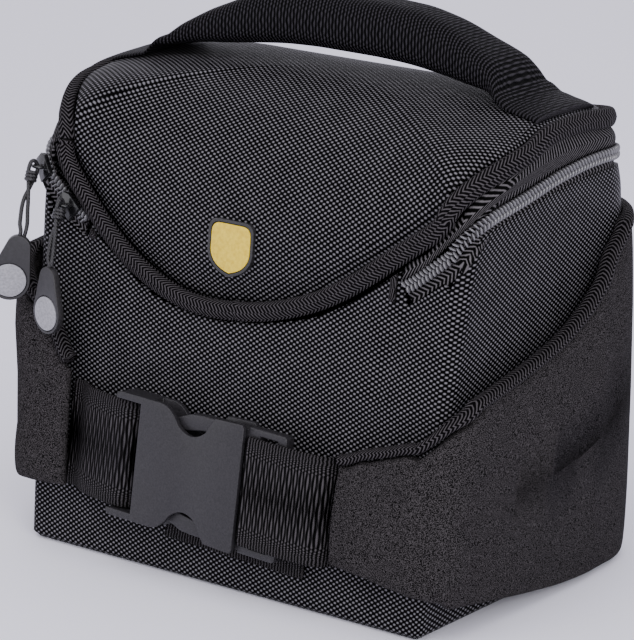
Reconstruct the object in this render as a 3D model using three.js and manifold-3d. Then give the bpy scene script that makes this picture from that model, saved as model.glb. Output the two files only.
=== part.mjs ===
// Bicycle handlebar bag with a padded waist belt, in millimetres. +Z is up, the belt buckle faces -Y,
// the handlebar side faces +Y and the origin is the middle of the flat base.
import * as THREE from "three";
import { mergeVertices } from "three/addons/utils/BufferGeometryUtils.js";
import Module from "manifold-3d";

// Main form of the bag.
const baseWidth = 212;
const baseDepth = 151;
const rimHeight = 200;
const lidCrest = 209.5;
const frontLean = 0.13;
const sideFlare = 0.05;
const frontCorner = 40;
const rearCorner = 26;
const bodyWall = 3;
const baseRound = 3;
const lidThickness = 5;
const clearance = 0.35;

// Edge binding, zip and its tapes.
const bindingWidth = 8.6;
const bindingThickness = 6;
const tapeThickness = 2;
const coilWidth = 6.2;
const coilThickness = 3.2;
const lowerTapeWidth = 4.5;
const zipStopLength = 12;
const zipStopThickness = 2.4;

// Zip sliders and pulls.
const sliderLength = 11;
const sliderWidth = 8;
const sliderThickness = 4.4;
const eyeRadius = 2.4;
const eyeWire = 0.75;
const cordDiameter = 1.8;
const cordSpread = 1.1;
const tabDiscRadius = 8.9;
const tabNeckRadius = 5.2;
const tabLength = 20.5;
const tabThickness = 3.2;
const discRadius = 7.4;
const discThickness = 1;

// Carrying handle.
const handleWebWidth = 41;
const handleWebThickness = 2.4;
const handleReach = 111;
const handleRise = 18;
const gripHeight = 24;
const gripDepth = 23;
const handleSetback = 13.3;
const handleTwist = 2.8;
const handleTilt = 1.6;
const gripShift = 7;

// Belt: two padded wings, webbing and a side-release buckle.
const wingThickness = 6.5;
const wingBulge = 2.2;
const wingBite = 4.5;
const wingBindingHeight = 4.2;
const wingBindingThickness = 7.6;
const beltHeight = 50;
const webThickness = 2;
const beltMiddle = 48.5;
const beltTilt = -2.2;
const buckleLength = 90;
const buckleHeight = 54;
const buckleShift = -5.5;
const buckleThickness = 11;
const buckleStandoff = 4;
const bucklePlate = 2.4;
const plugThickness = buckleThickness - 2 * bucklePlate - 2 * clearance;
const barWidth = 4.6;
const slotWidth = 9;
const railHeight = 3;
const notchRadius = 12;

// Badge on the flap and fixing plate on the back.
const badgeSize = 24;
const badgeThickness = 2.4;
const badgeRim = 2.6;
const badgeHeightShare = 0.715;
const badgeShift = -5;
const mountWidth = 92;
const mountHeight = 74;
const mountThickness = 6;
const mountMiddleShare = 0.62;

// The wall's plan by height as a share of rimHeight: front corners as shares of frontCorner, back wall
// as a share of half baseDepth, rear corners as shares of rearCorner. The front corners are sharp low
// down and round at the lid, and the back leans in towards the lid.
const wallShape = [
  { height: 0, front: 0.1, back: 1, rear: 1 },
  { height: 0.7, front: 0.15, back: 0.98, rear: 1 },
  { height: 0.82, front: 0.22, back: 0.94, rear: 0.96 },
  { height: 0.9, front: 0.5, back: 0.848, rear: 0.885 },
  { height: 0.965, front: 0.84, back: 0.755, rear: 0.846 },
  { height: 1.03, front: 1, back: 0.702, rear: 0.846 },
];

// Lid edge as shares of rimHeight. "along" runs round the bag: 0 front middle, 1 to 2 the front corner,
// 3 to 4 the rear corner, 5 rear middle. The soft flap sits a little lower on its left.
const lidEdge = [
  { along: 0, right: 0.589, left: 0.589 },
  { along: 0.1, right: 0.595, left: 0.583 },
  { along: 0.2, right: 0.608, left: 0.584 },
  { along: 0.3, right: 0.625, left: 0.591 },
  { along: 0.4, right: 0.646, left: 0.61 },
  { along: 0.5, right: 0.673, left: 0.634 },
  { along: 0.6, right: 0.711, left: 0.664 },
  { along: 0.7, right: 0.749, left: 0.707 },
  { along: 0.8, right: 0.788, left: 0.76 },
  { along: 0.9, right: 0.823, left: 0.81 },
  { along: 1, right: 0.847, left: 0.852 },
  { along: 1.1, right: 0.865, left: 0.884 },
  { along: 1.25, right: 0.884, left: 0.917 },
  { along: 1.4, right: 0.902, left: 0.941 },
  { along: 1.55, right: 0.925, left: 0.955 },
  { along: 1.7, right: 0.946, left: 0.966 },
  { along: 2, right: 0.988, left: 0.978 },
  { along: 2.33, right: 1, left: 0.985 },
  { along: 2.7, right: 1.002, left: 0.988 },
  { along: 3, right: 0.997, left: 0.987 },
  { along: 3.4, right: 0.987, left: 0.982 },
  { along: 3.7, right: 0.976, left: 0.976 },
  { along: 4, right: 0.967, left: 0.967 },
  { along: 5, right: 0.963, left: 0.963 },
];

// Zip line as shares of rimHeight; it runs from one front corner round the back to the other.
const zipLine = [
  { along: 0.77, height: 0.69 },
  { along: 0.86, height: 0.733 },
  { along: 0.97, height: 0.78 },
  { along: 1.11, height: 0.803 },
  { along: 1.33, height: 0.82 },
  { along: 1.68, height: 0.85 },
  { along: 2.15, height: 0.87 },
  { along: 2.5, height: 0.9 },
  { along: 2.94, height: 0.913 },
  { along: 3.3, height: 0.91 },
  { along: 4, height: 0.885 },
  { along: 5, height: 0.88 },
];
const zipStart = 0.79;
const zipTurn = 0.03;

// Wings: edges as shares of rimHeight; standoff from the wall, what the upper edge flares beyond it and
// the pad's thickness as shares of wingThickness; how far the belt draws it in as a share of wingBite.
const rightWing = [
  { along: 0.63, low: 0.131, high: 0.352, standoff: 0.8, flare: 0, draw: 0.2, thick: 1 },
  { along: 0.75, low: 0.127, high: 0.374, standoff: 0.8, flare: 0, draw: 0.48, thick: 1 },
  { along: 0.86, low: 0.12, high: 0.391, standoff: 0.8, flare: 0.05, draw: 0.47, thick: 1 },
  { along: 0.95, low: 0.114, high: 0.407, standoff: 0.8, flare: 0.1, draw: 0.46, thick: 1 },
  { along: 1.1, low: 0.109, high: 0.421, standoff: 0.75, flare: 0.1, draw: 0.43, thick: 1 },
  { along: 1.3, low: 0.105, high: 0.441, standoff: 0.7, flare: 0.1, draw: 0.41, thick: 1 },
  { along: 1.5, low: 0.1, high: 0.46, standoff: 0.7, flare: 0.1, draw: 0.38, thick: 1 },
  { along: 1.85, low: 0.09, high: 0.482, standoff: 0.8, flare: 0.1, draw: 0.32, thick: 1 },
  { along: 2, low: 0.076, high: 0.496, standoff: 0.85, flare: 0.1, draw: 0.3, thick: 1 },
  { along: 2.25, low: 0.052, high: 0.524, standoff: 0.9, flare: 0.1, draw: 0.3, thick: 1 },
  { along: 2.5, low: 0.03, high: 0.562, standoff: 1, flare: 0.1, draw: 0.3, thick: 1 },
  { along: 2.68, low: 0.017, high: 0.604, standoff: 1, flare: 0, draw: 0.3, thick: 1 },
  { along: 2.8, low: 0.013, high: 0.65, standoff: 1, flare: -0.05, draw: 0.3, thick: 1 },
  { along: 2.92, low: 0.011, high: 0.71, standoff: 0.9, flare: -0.35, draw: 0.3, thick: 0.9 },
  { along: 3.1, low: 0.011, high: 0.755, standoff: 0.85, flare: -0.6, draw: 0.27, thick: 0.75 },
  { along: 3.35, low: 0.011, high: 0.765, standoff: 0.8, flare: -0.7, draw: 0.18, thick: 0.65 },
  { along: 3.6, low: 0.011, high: 0.765, standoff: 0.5, flare: -0.4, draw: 0.1, thick: 0.65 },
  { along: 3.8, low: 0.014, high: 0.765, standoff: 0.3, flare: -0.1, draw: 0.05, thick: 0.65 },
  { along: 4.02, low: 0.02, high: 0.76, standoff: 0.08, flare: 0.04, draw: 0, thick: 0.65 },
];
const leftWing = [
  { along: 0.78, low: 0.15, high: 0.425, standoff: 0.8, flare: 0, draw: 0.2, thick: 1 },
  { along: 0.86, low: 0.148, high: 0.48, standoff: 0.8, flare: 0, draw: 0.54, thick: 1 },
  { along: 0.93, low: 0.146, high: 0.525, standoff: 0.8, flare: 0, draw: 0.57, thick: 1 },
  { along: 1, low: 0.144, high: 0.552, standoff: 0.65, flare: 0.1, draw: 0.6, thick: 1 },
  { along: 1.25, low: 0.141, high: 0.58, standoff: 0.5, flare: 0.2, draw: 0.62, thick: 1 },
  { along: 1.5, low: 0.138, high: 0.6, standoff: 0.45, flare: 0.2, draw: 0.61, thick: 1 },
  { along: 1.75, low: 0.132, high: 0.61, standoff: 0.5, flare: 0.15, draw: 0.6, thick: 1 },
  { along: 2, low: 0.124, high: 0.622, standoff: 0.65, flare: 0, draw: 0.54, thick: 1 },
  { along: 2.25, low: 0.1, high: 0.635, standoff: 0.85, flare: -0.1, draw: 0.49, thick: 1 },
  { along: 2.5, low: 0.07, high: 0.65, standoff: 1, flare: -0.1, draw: 0.43, thick: 1 },
  { along: 2.75, low: 0.04, high: 0.68, standoff: 1, flare: 0, draw: 0.36, thick: 1 },
  { along: 2.92, low: 0.026, high: 0.715, standoff: 0.9, flare: -0.35, draw: 0.32, thick: 0.9 },
  { along: 3.1, low: 0.018, high: 0.75, standoff: 0.85, flare: -0.6, draw: 0.27, thick: 0.75 },
  { along: 3.35, low: 0.014, high: 0.765, standoff: 0.8, flare: -0.7, draw: 0.18, thick: 0.65 },
  { along: 3.6, low: 0.012, high: 0.765, standoff: 0.5, flare: -0.4, draw: 0.1, thick: 0.65 },
  { along: 3.8, low: 0.014, high: 0.765, standoff: 0.3, flare: -0.1, draw: 0.05, thick: 0.65 },
  { along: 4.02, low: 0.02, high: 0.76, standoff: 0.08, flare: 0.04, draw: 0, thick: 0.65 },
];

// Handle stations from the sewn end to the middle: reach as a share of handleReach, shift to the right
// as a share of gripShift, rise of the middle line above the lid as a share of handleRise. "webbing" is
// 1 for flat webbing and 0 for the grip; where "laid" is 1 the webbing lies on the lid.
const handleStations = [
  { reach: 1, shift: 0, rise: 0, webbing: 1, laid: 1 },
  { reach: 0.93, shift: 0.05, rise: 0, webbing: 1, laid: 1 },
  { reach: 0.86, shift: 0.15, rise: 0.03, webbing: 1, laid: 1 },
  { reach: 0.79, shift: 0.35, rise: 0, webbing: 0.9, laid: 0 },
  { reach: 0.735, shift: 0.7, rise: 0.2, webbing: 0.65, laid: 0 },
  { reach: 0.67, shift: 1, rise: 0.39, webbing: 0.47, laid: 0 },
  { reach: 0.57, shift: 1, rise: 0.56, webbing: 0.28, laid: 0 },
  { reach: 0.42, shift: 1, rise: 0.8, webbing: 0.07, laid: 0 },
  { reach: 0.26, shift: 1, rise: 0.94, webbing: 0, laid: 0 },
  { reach: 0.1, shift: 1, rise: 0.975, webbing: 0, laid: 0 },
];

// Colours of the real materials.
const nylonBlack = 0x1c1b1c;
const bindingBlack = 0x242223;
const webbingBlack = 0x1d1c1d;
const foamBlack = 0x262424;
const coilBlack = 0x101011;
const sliderBlack = 0x2b2b2d;
const buckleGrey = 0x464447;
const tabGrey = 0x3c3a3c;
const discGrey = 0xa8a7ab;
const badgeBlack = 0x19181b;
const badgeYellow = 0xe3c53a;

const wasm = await Module();
wasm.setup();

const bag = new THREE.Group();

// Adds one named mesh with its own material to a group.
function addPiece(name, geometry, color, roughness, group = bag, metalness = 0) {
  const material = new THREE.MeshStandardMaterial({ color, roughness, metalness });
  const mesh = new THREE.Mesh(geometry, material);
  mesh.name = name;
  group.add(mesh);
  return mesh;
}

// Reads a column of a table at a place along the bag, or at another measure, straight between rows.
function columnAt(table, at, column, measure = "along") {
  if (at <= table[0][measure]) return table[0][column];
  for (let i = 1; i < table.length; i++) {
    const a = table[i - 1];
    const b = table[i];
    if (at <= b[measure]) {
      return THREE.MathUtils.mapLinear(at, a[measure], b[measure], a[column], b[column]);
    }
  }
  return table[table.length - 1][column];
}

// A point on the bag's wall: "along" as in the tables and minus on the left, "out" off the wall.
function wallPoint(along, height, out = 0) {
  const place = Math.abs(along);
  const halfWidth = baseWidth / 2 + sideFlare * height;
  const front = -baseDepth / 2 + frontLean * height;
  const share = height / rimHeight;
  const back = (baseDepth / 2) * columnAt(wallShape, share, "back", "height");
  const corner = frontCorner * columnAt(wallShape, share, "front", "height");
  const rear = rearCorner * columnAt(wallShape, share, "rear", "height");
  let x;
  let y;
  if (place <= 1) {
    x = place * (halfWidth - corner);
    y = front - out;
  } else if (place <= 2) {
    const turn = ((place - 1) * Math.PI) / 2;
    x = halfWidth - corner + (corner + out) * Math.sin(turn);
    y = front + corner - (corner + out) * Math.cos(turn);
  } else if (place <= 3) {
    x = halfWidth + out;
    y = THREE.MathUtils.lerp(front + corner, back - rear, place - 2);
  } else if (place <= 4) {
    const turn = ((place - 3) * Math.PI) / 2;
    x = halfWidth - rear + (rear + out) * Math.cos(turn);
    y = back - rear + (rear + out) * Math.sin(turn);
  } else {
    x = (halfWidth - rear) * (5 - place);
    y = back + out;
  }
  return new THREE.Vector3(along < 0 ? -x : x, y, height);
}

function rimAt(along) {
  return rimHeight * columnAt(lidEdge, Math.abs(along), along < 0 ? "left" : "right");
}

function zipAt(along) {
  return rimHeight * columnAt(zipLine, Math.abs(along), "height");
}

// Height up the wall that half of a band takes where the band runs along a sloping line; the steeper
// of the runs on the two sides counts, and the seam allowance covers the facets of the corners.
const seamAllowance = 1.3;

function halfUpWall(heightAt, along, width, out = -bodyWall) {
  const place = Math.abs(along);
  const sign = along < 0 ? -1 : 1;
  const reach = 0.11;
  let steepest = 1;
  for (const [from, to] of [[place - reach, place], [place, place + reach], [place - reach / 2, place + reach / 2]]) {
    const a = wallPoint(sign * Math.max(from, 0), heightAt(sign * Math.max(from, 0)), out);
    const b = wallPoint(sign * Math.min(to, 5), heightAt(sign * Math.min(to, 5)), out);
    const level = Math.hypot(b.x - a.x, b.y - a.y);
    if (level > 0) steepest = Math.max(steepest, Math.hypot(level, b.z - a.z) / level);
  }
  return (width / 2) * steepest + (steepest > 1.02 ? seamAllowance : 0);
}

// Closed solid lofted through rings of equal point counts; the ends are capped or, in a loop, joined.
function loft(rings, loop = false) {
  const count = rings[0].length;
  const points = rings.flat();
  const faces = [];
  const last = loop ? rings.length : rings.length - 1;
  for (let i = 0; i < last; i++) {
    const a = i * count;
    const b = ((i + 1) % rings.length) * count;
    for (let j = 0; j < count; j++) {
      const k = (j + 1) % count;
      faces.push([a + j, b + j, b + k], [a + j, b + k, a + k]);
    }
  }
  if (!loop) {
    for (const end of [0, rings.length - 1]) {
      const middle = new THREE.Vector3();
      rings[end].forEach((p) => middle.addScaledVector(p, 1 / count));
      const tip = points.push(middle) - 1;
      for (let j = 0; j < count; j++) {
        const a = end * count + j;
        const b = end * count + ((j + 1) % count);
        faces.push(end === 0 ? [tip, a, b] : [tip, b, a]);
      }
    }
  }
  let volume = 0;
  faces.forEach(([a, b, c]) => {
    volume += points[a].dot(new THREE.Vector3().crossVectors(points[b], points[c]));
  });
  const index = faces.flatMap(([a, b, c]) => (volume < 0 ? [a, c, b] : [a, b, c]));
  const geometry = new THREE.BufferGeometry().setFromPoints(points);
  geometry.setIndex(index);
  geometry.computeVertexNormals();
  return geometry;
}

function toSolid(geometry) {
  const bare = geometry.clone();
  bare.deleteAttribute("normal");
  bare.deleteAttribute("uv");
  const merged = mergeVertices(bare, 1e-4);
  return new wasm.Manifold(
    new wasm.Mesh({
      numProp: 3,
      vertProperties: merged.attributes.position.array,
      triVerts: new Uint32Array(merged.index.array),
    }),
  );
}

function toGeometry(solid) {
  const mesh = solid.getMesh();
  const geometry = new THREE.BufferGeometry();
  geometry.setAttribute("position", new THREE.BufferAttribute(mesh.vertProperties, 3));
  geometry.setIndex(new THREE.BufferAttribute(mesh.triVerts, 1));
  geometry.computeVertexNormals();
  return geometry;
}

// Places round the whole bag, from the rear middle over the left side and the front to the right.
const halfPlaces = [
  0, 0.15, 0.3, 0.45, 0.6, 0.7, 0.8, 0.9, 1, 1.1, 1.2, 1.3, 1.45, 1.6, 1.8, 2, 2.2, 2.4, 2.7, 3,
  3.2, 3.4, 3.6, 3.8, 4, 4.5, 5,
];
const ringPlaces = [
  ...halfPlaces.slice(1, -1).map((p) => -p).reverse(),
  ...halfPlaces,
];

// Body: one cup of stiffened nylon. Its top edge lies below the flap binding at the front and below
// the zip's lower tape from one front corner round the back to the other.
function zipEdgeDrop(along) {
  return halfUpWall(zipAt, along, coilWidth) + lowerTapeWidth + 4 * clearance;
}

function rimEdgeDrop(along) {
  return halfUpWall(rimAt, along, bindingWidth) + clearance;
}

function bodyTopAt(along) {
  const place = Math.abs(along);
  const underFlap = rimAt(along) - rimEdgeDrop(along);
  const underZip = zipAt(along) - zipEdgeDrop(along);
  if (place <= zipStart - zipTurn) return underFlap;
  if (place >= zipStart) return Math.min(underZip, underFlap);
  const share = (place - zipStart + zipTurn) / zipTurn;
  return THREE.MathUtils.lerp(underFlap, Math.min(underZip, underFlap), share);
}

const zipFoot = zipStart - zipTurn;
const bodyPlaces = [...ringPlaces, zipFoot, zipStart, -zipFoot, -zipStart].sort((a, b) => a - b);
const bodyShares = [0, 0.018, 0.2, 0.4, 0.6, 0.8, 1];
const outerRings = bodyShares.map((share) =>
  bodyPlaces.map((p) => wallPoint(p, share * bodyTopAt(p), share === 0 ? -baseRound : 0)),
);
const innerRings = [1, 0.6, 0.25, 0].map((share) =>
  bodyPlaces.map((p) =>
    wallPoint(p, THREE.MathUtils.lerp(bodyWall, bodyTopAt(p), share), -bodyWall),
  ),
);
addPiece("body_shell", loft([...outerRings, ...innerRings]), nylonBlack, 0.8);

// Lid: a padded, crowned panel that runs over the front as a U-shaped flap. Spokes go level from the
// crest to the edge and fall to it along a superellipse, squarer where the fall is long.
const crestSetback = 12;
const flapSquareness = 2.5;
const sideSquareness = 1.9;
const bindingOut = 0.4;
const lidSetIn = bindingThickness / 2 - bindingOut + clearance;
const lidTuck = bindingWidth / 6;

function lidPoint(along, share, inset = 0) {
  const edge = wallPoint(along, rimAt(along) + lidTuck, -lidSetIn - inset);
  const crest = lidCrest - inset;
  const fall = crest - edge.z;
  const deepest = lidCrest - rimHeight * lidEdge[0].right;
  const squareness = THREE.MathUtils.mapLinear(fall, 0, deepest, sideSquareness, flapSquareness);
  const turn = (share * Math.PI) / 2;
  const level = Math.sin(turn) ** (2 / squareness);
  const rise = Math.cos(turn) ** (2 / squareness);
  return new THREE.Vector3(
    edge.x * level,
    THREE.MathUtils.lerp(crestSetback, edge.y, level),
    edge.z + fall * rise,
  );
}

const lidShares = [0.12, 0.3, 0.45, 0.6, 0.74, 0.87, 1];
const lidOuter = lidShares.map((share) => ringPlaces.map((p) => lidPoint(p, share)));
const lidInner = [1, 0.8, 0.5, 0.2].map((share) =>
  ringPlaces.map((p) => {
    const point = lidPoint(p, share, lidThickness);
    if (share === 1) point.z = rimAt(p) + lidTuck;
    return point;
  }),
);
addPiece("lid_panel", loft([...lidOuter, ...lidInner]), nylonBlack, 0.8);

// Height of the lid above a point of the plan, for what is sewn or laid on it.
function lidHeight(x, y) {
  const bearing = Math.atan2(Math.abs(x), crestSetback - y);
  let low = 0;
  let high = 5;
  for (let i = 0; i < 24; i++) {
    const middle = (low + high) / 2;
    const edge = lidPoint(x < 0 ? -middle : middle, 1);
    if (Math.atan2(Math.abs(edge.x), crestSetback - edge.y) < bearing) low = middle;
    else high = middle;
  }
  const place = x < 0 ? -low : low;
  let near = 0;
  let far = 1;
  for (let i = 0; i < 24; i++) {
    const middle = (near + far) / 2;
    const point = lidPoint(place, middle);
    if (Math.hypot(point.x, point.y - crestSetback) < Math.hypot(x, y - crestSetback)) near = middle;
    else far = middle;
  }
  return lidPoint(place, near).z;
}

// Section of a flat band that stands on the wall: outer face low to high, then inner face back down.
function bandSection(along, low, high, outer, inner, steps = 1) {
  const section = [];
  for (let i = 0; i <= steps; i++) {
    section.push(wallPoint(along, THREE.MathUtils.lerp(low, high, i / steps), outer));
  }
  for (let i = steps; i >= 0; i--) {
    section.push(wallPoint(along, THREE.MathUtils.lerp(low, high, i / steps), inner));
  }
  return section;
}

// Rounded strip that rides along the wall: one ring per place, square to the strip's own run.
function rollRings(places, heightAt, outAt, width, thicknessAt, sides, loop = false) {
  const centres = places.map((p) => wallPoint(p, heightAt(p), outAt(p)));
  const count = centres.length;
  return places.map((p, i) => {
    const before = loop ? centres[(i + count - 1) % count] : centres[Math.max(i - 1, 0)];
    const after = loop ? centres[(i + 1) % count] : centres[Math.min(i + 1, count - 1)];
    const run = after.clone().sub(before).normalize();
    const off = wallPoint(p, heightAt(p), outAt(p) + 1).sub(centres[i]).normalize();
    const up = new THREE.Vector3().crossVectors(off, run).normalize();
    const ring = [];
    for (let j = 0; j < sides; j++) {
      const turn = ((j + 0.5) * 2 * Math.PI) / sides;
      const scale = 1 / Math.cos(Math.PI / sides);
      const a = THREE.MathUtils.clamp(Math.sin(turn) * scale, -1, 1);
      const b = THREE.MathUtils.clamp(Math.cos(turn) * scale, -1, 1);
      ring.push(
        centres[i]
          .clone()
          .addScaledVector(up, (a * width) / 2)
          .addScaledVector(off, (b * thicknessAt(p)) / 2),
      );
    }
    return ring;
  });
}

addPiece(
  "lid_binding",
  loft(
    rollRings(ringPlaces, rimAt, () => bindingOut, bindingWidth, () => bindingThickness, 8, true),
    true,
  ),
  bindingBlack,
  0.85,
);

// The zip runs round the back between the two front corners: gusset tape, coil and lower tape.
const zipHalf = [zipStart, ...halfPlaces.filter((p) => p > zipStart)];
const zipPlaces = [
  ...zipHalf.slice(0, -1).map((p) => -p),
  ...zipHalf.slice().reverse(),
];
const tapeOut = -0.4;

const gussetTop = (p) => rimAt(p) - rimEdgeDrop(p) - 3 * clearance;
const gussetFoot = (p) => zipAt(p) + halfUpWall(zipAt, p, coilWidth) + clearance;
const gussetPlaces = zipPlaces.filter((p) => gussetTop(p) - gussetFoot(p) > tapeThickness / 2);
addPiece(
  "zip_gusset",
  loft(
    gussetPlaces.map((p) =>
      bandSection(p, gussetFoot(p), gussetTop(p), tapeOut, tapeOut - tapeThickness),
    ),
  ),
  bindingBlack,
  0.85,
);
addPiece(
  "zip_coil",
  loft(rollRings(zipPlaces, zipAt, () => 0, coilWidth, () => coilThickness, 6)),
  coilBlack,
  0.35,
);
addPiece(
  "zip_tape_lower",
  loft(
    zipPlaces.map((p) => {
      const high = zipAt(p) - halfUpWall(zipAt, p, coilWidth) - clearance;
      return bandSection(p, high - lowerTapeWidth, high, tapeOut, tapeOut - tapeThickness);
    }),
  ),
  bindingBlack,
  0.85,
);

// Stitched tab over each front end of the zip.
for (const [name, side] of [["zip_stop_right", 1], ["zip_stop_left", -1]]) {
  const from = zipStart - zipStopLength / baseWidth;
  const to = zipStart - coilWidth / baseWidth;
  const height = zipAt(zipStart);
  const half = coilWidth;
  const inner = clearance;
  const sections = [from, (from + to) / 2, to].map((p) => {
    const high = Math.min(height + half, rimAt(side * p) - rimEdgeDrop(side * p));
    return bandSection(side * p, height - half, high, inner + zipStopThickness, inner);
  });
  addPiece(name, loft(sections), bindingBlack, 0.85);
}

// A local frame at a point: x along the wall, y up it, z off it.
function frameAt(along, height, out) {
  const step = 0.01;
  const origin = wallPoint(along, height, out);
  const x = wallPoint(along + step, height, out).sub(wallPoint(along - step, height, out)).normalize();
  const up = wallPoint(along, height + 1, out).sub(wallPoint(along, height - 1, out)).normalize();
  const z = new THREE.Vector3().crossVectors(x, up).normalize();
  const y = new THREE.Vector3().crossVectors(z, x).normalize();
  return new THREE.Matrix4().makeBasis(x, y, z).setPosition(origin);
}

// Zip slider: a tapered body turned along the zip, with an upright wire eye that the cord hangs from.
const eyeHeight = sliderThickness / 2 + eyeRadius - eyeWire;

function sliderGeometry(slope) {
  const half = sliderWidth / 2;
  const shape = new THREE.Shape();
  shape.moveTo(-sliderLength / 2, -half * 0.6);
  shape.lineTo(-sliderLength / 4, -half);
  shape.lineTo(sliderLength / 2, -half);
  shape.lineTo(sliderLength / 2, half);
  shape.lineTo(-sliderLength / 4, half);
  shape.lineTo(-sliderLength / 2, half * 0.6);
  shape.closePath();
  const body = new THREE.ExtrudeGeometry(shape, { depth: sliderThickness / 2, bevelEnabled: false });
  body.rotateZ(slope);
  const eye = new THREE.TorusGeometry(eyeRadius, eyeWire, 8, 16);
  eye.rotateX(Math.PI / 2);
  eye.translate(0, 0, eyeHeight);
  return toGeometry(toSolid(body).add(toSolid(eye)));
}

const sliderOut = coilThickness / 2 + 2 * clearance;
const sliderSites = { upper: -1.22, lower: -0.88 };
const sliderFrames = {};
for (const [name, along] of Object.entries(sliderSites)) {
  const frame = frameAt(along, zipAt(along), sliderOut);
  const before = wallPoint(along - 0.05, zipAt(along - 0.05));
  const after = wallPoint(along + 0.05, zipAt(along + 0.05));
  const slope = Math.atan2(after.z - before.z, Math.hypot(after.x - before.x, after.y - before.y));
  const geometry = sliderGeometry(slope);
  geometry.applyMatrix4(frame);
  addPiece("slider_" + name, geometry, sliderBlack, 0.4, bag, 0.6);
  sliderFrames[name] = frame;
}

// Each pull: a cord loop through the slider's eye, a rubber tab and a bare disc. "facing" is where the
// tab's face looks, "top" the upper end of the tab and "disc" the middle of its round end, as shares of
// baseWidth, baseDepth and rimHeight.
const pulls = [
  { name: "upper", facing: [0.615, -0.788, 0], top: [-0.49, -0.512, 0.6965], disc: [-0.517, -0.532, 0.5885] },
  { name: "lower", facing: [-0.2, -0.98, 0], top: [-0.409, -0.515, 0.65], disc: [-0.413, -0.52, 0.529] },
];
const bagSize = new THREE.Vector3(baseWidth, baseDepth, rimHeight);
for (const pull of pulls) {
  const facing = new THREE.Vector3(...pull.facing).normalize();
  const disc = new THREE.Vector3(...pull.disc).multiply(bagSize);
  const up = new THREE.Vector3(...pull.top).multiply(bagSize).sub(disc).normalize();
  const side = new THREE.Vector3().crossVectors(up, facing).normalize();
  const out = new THREE.Vector3().crossVectors(side, up).normalize();
  const frame = new THREE.Matrix4().makeBasis(side, up, out).setPosition(disc);

  const cordHalf = cordDiameter / 2;
  const inEye = eyeHeight + eyeRadius - eyeWire - clearance - cordHalf;
  const overEye = eyeHeight + eyeRadius + eyeWire + clearance + cordHalf;
  const overTop = eyeWire + 3 * clearance + cordHalf;
  const atEye = [
    [0, -overTop, inEye],
    [0, 0, inEye],
    [0, overTop, (inEye + overEye) / 2],
    [0, 0, overEye],
    [0, -overTop, overEye],
  ].map((p) => new THREE.Vector3(...p).applyMatrix4(sliderFrames[pull.name]));
  const end = disc
    .clone()
    .addScaledVector(up, tabLength + cordHalf)
    .addScaledVector(out, tabThickness / 2);
  const middle = atEye[atEye.length - 1].clone().lerp(end, 0.5);
  const loop = [
    ...atEye,
    middle.clone().addScaledVector(side, cordSpread),
    end.clone().addScaledVector(side, cordSpread).addScaledVector(up, cordSpread),
    end,
    end.clone().addScaledVector(side, -cordSpread).addScaledVector(up, cordSpread),
    middle.clone().addScaledVector(side, -cordSpread),
  ];
  const curve = new THREE.CatmullRomCurve3(loop, true, "centripetal");
  const rings = [];
  const steps = 44;
  const frames = curve.computeFrenetFrames(steps, true);
  for (let i = 0; i < steps; i++) {
    const centre = curve.getPointAt(i / steps);
    const ring = [];
    for (let j = 0; j < 8; j++) {
      const turn = (j * Math.PI) / 4;
      ring.push(
        centre
          .clone()
          .addScaledVector(frames.normals[i], (Math.cos(turn) * cordDiameter) / 2)
          .addScaledVector(frames.binormals[i], (Math.sin(turn) * cordDiameter) / 2),
      );
    }
    rings.push(ring);
  }
  addPiece("pull_cord_" + pull.name, loft(rings, true), webbingBlack, 0.6);

  const shape = new THREE.Shape();
  const flank = Math.asin((tabDiscRadius - tabNeckRadius) / (tabLength - tabNeckRadius));
  shape.absarc(0, 0, tabDiscRadius, Math.PI - flank, flank, false);
  shape.absarc(0, tabLength - tabNeckRadius, tabNeckRadius, flank, Math.PI - flank, false);
  shape.closePath();
  const tab = new THREE.ExtrudeGeometry(shape, {
    depth: tabThickness,
    bevelEnabled: false,
    curveSegments: 12,
  });
  const recess = new THREE.CylinderGeometry(discRadius + clearance, discRadius + clearance, 2, 28);
  recess.rotateX(Math.PI / 2);
  recess.translate(0, 0, tabThickness + 1 - discThickness);
  const tabGeometry = toGeometry(toSolid(tab).subtract(toSolid(recess)));
  tabGeometry.applyMatrix4(frame);
  addPiece("pull_tab_" + pull.name, tabGeometry, tabGrey, 0.7);

  const face = new THREE.CylinderGeometry(discRadius, discRadius, discThickness, 28);
  face.rotateX(Math.PI / 2);
  face.translate(0, 0, tabThickness - discThickness / 2 + clearance);
  face.applyMatrix4(frame);
  addPiece("pull_disc_" + pull.name, face, discGrey, 0.55);
}

// Badge: a round-cornered rubber shield with a raised rim and a plain face.
function shieldShape(size) {
  const half = size / 2;
  const round = size * 0.22;
  const shape = new THREE.Shape();
  shape.moveTo(-half + round, half);
  shape.lineTo(half - round, half);
  shape.quadraticCurveTo(half, half, half, half - round);
  shape.lineTo(half, -half * 0.15);
  shape.quadraticCurveTo(half * 0.9, -half * 0.8, 0, -half);
  shape.quadraticCurveTo(-half * 0.9, -half * 0.8, -half, -half * 0.15);
  shape.lineTo(-half, half - round);
  shape.quadraticCurveTo(-half, half, -half + round, half);
  return shape;
}

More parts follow.
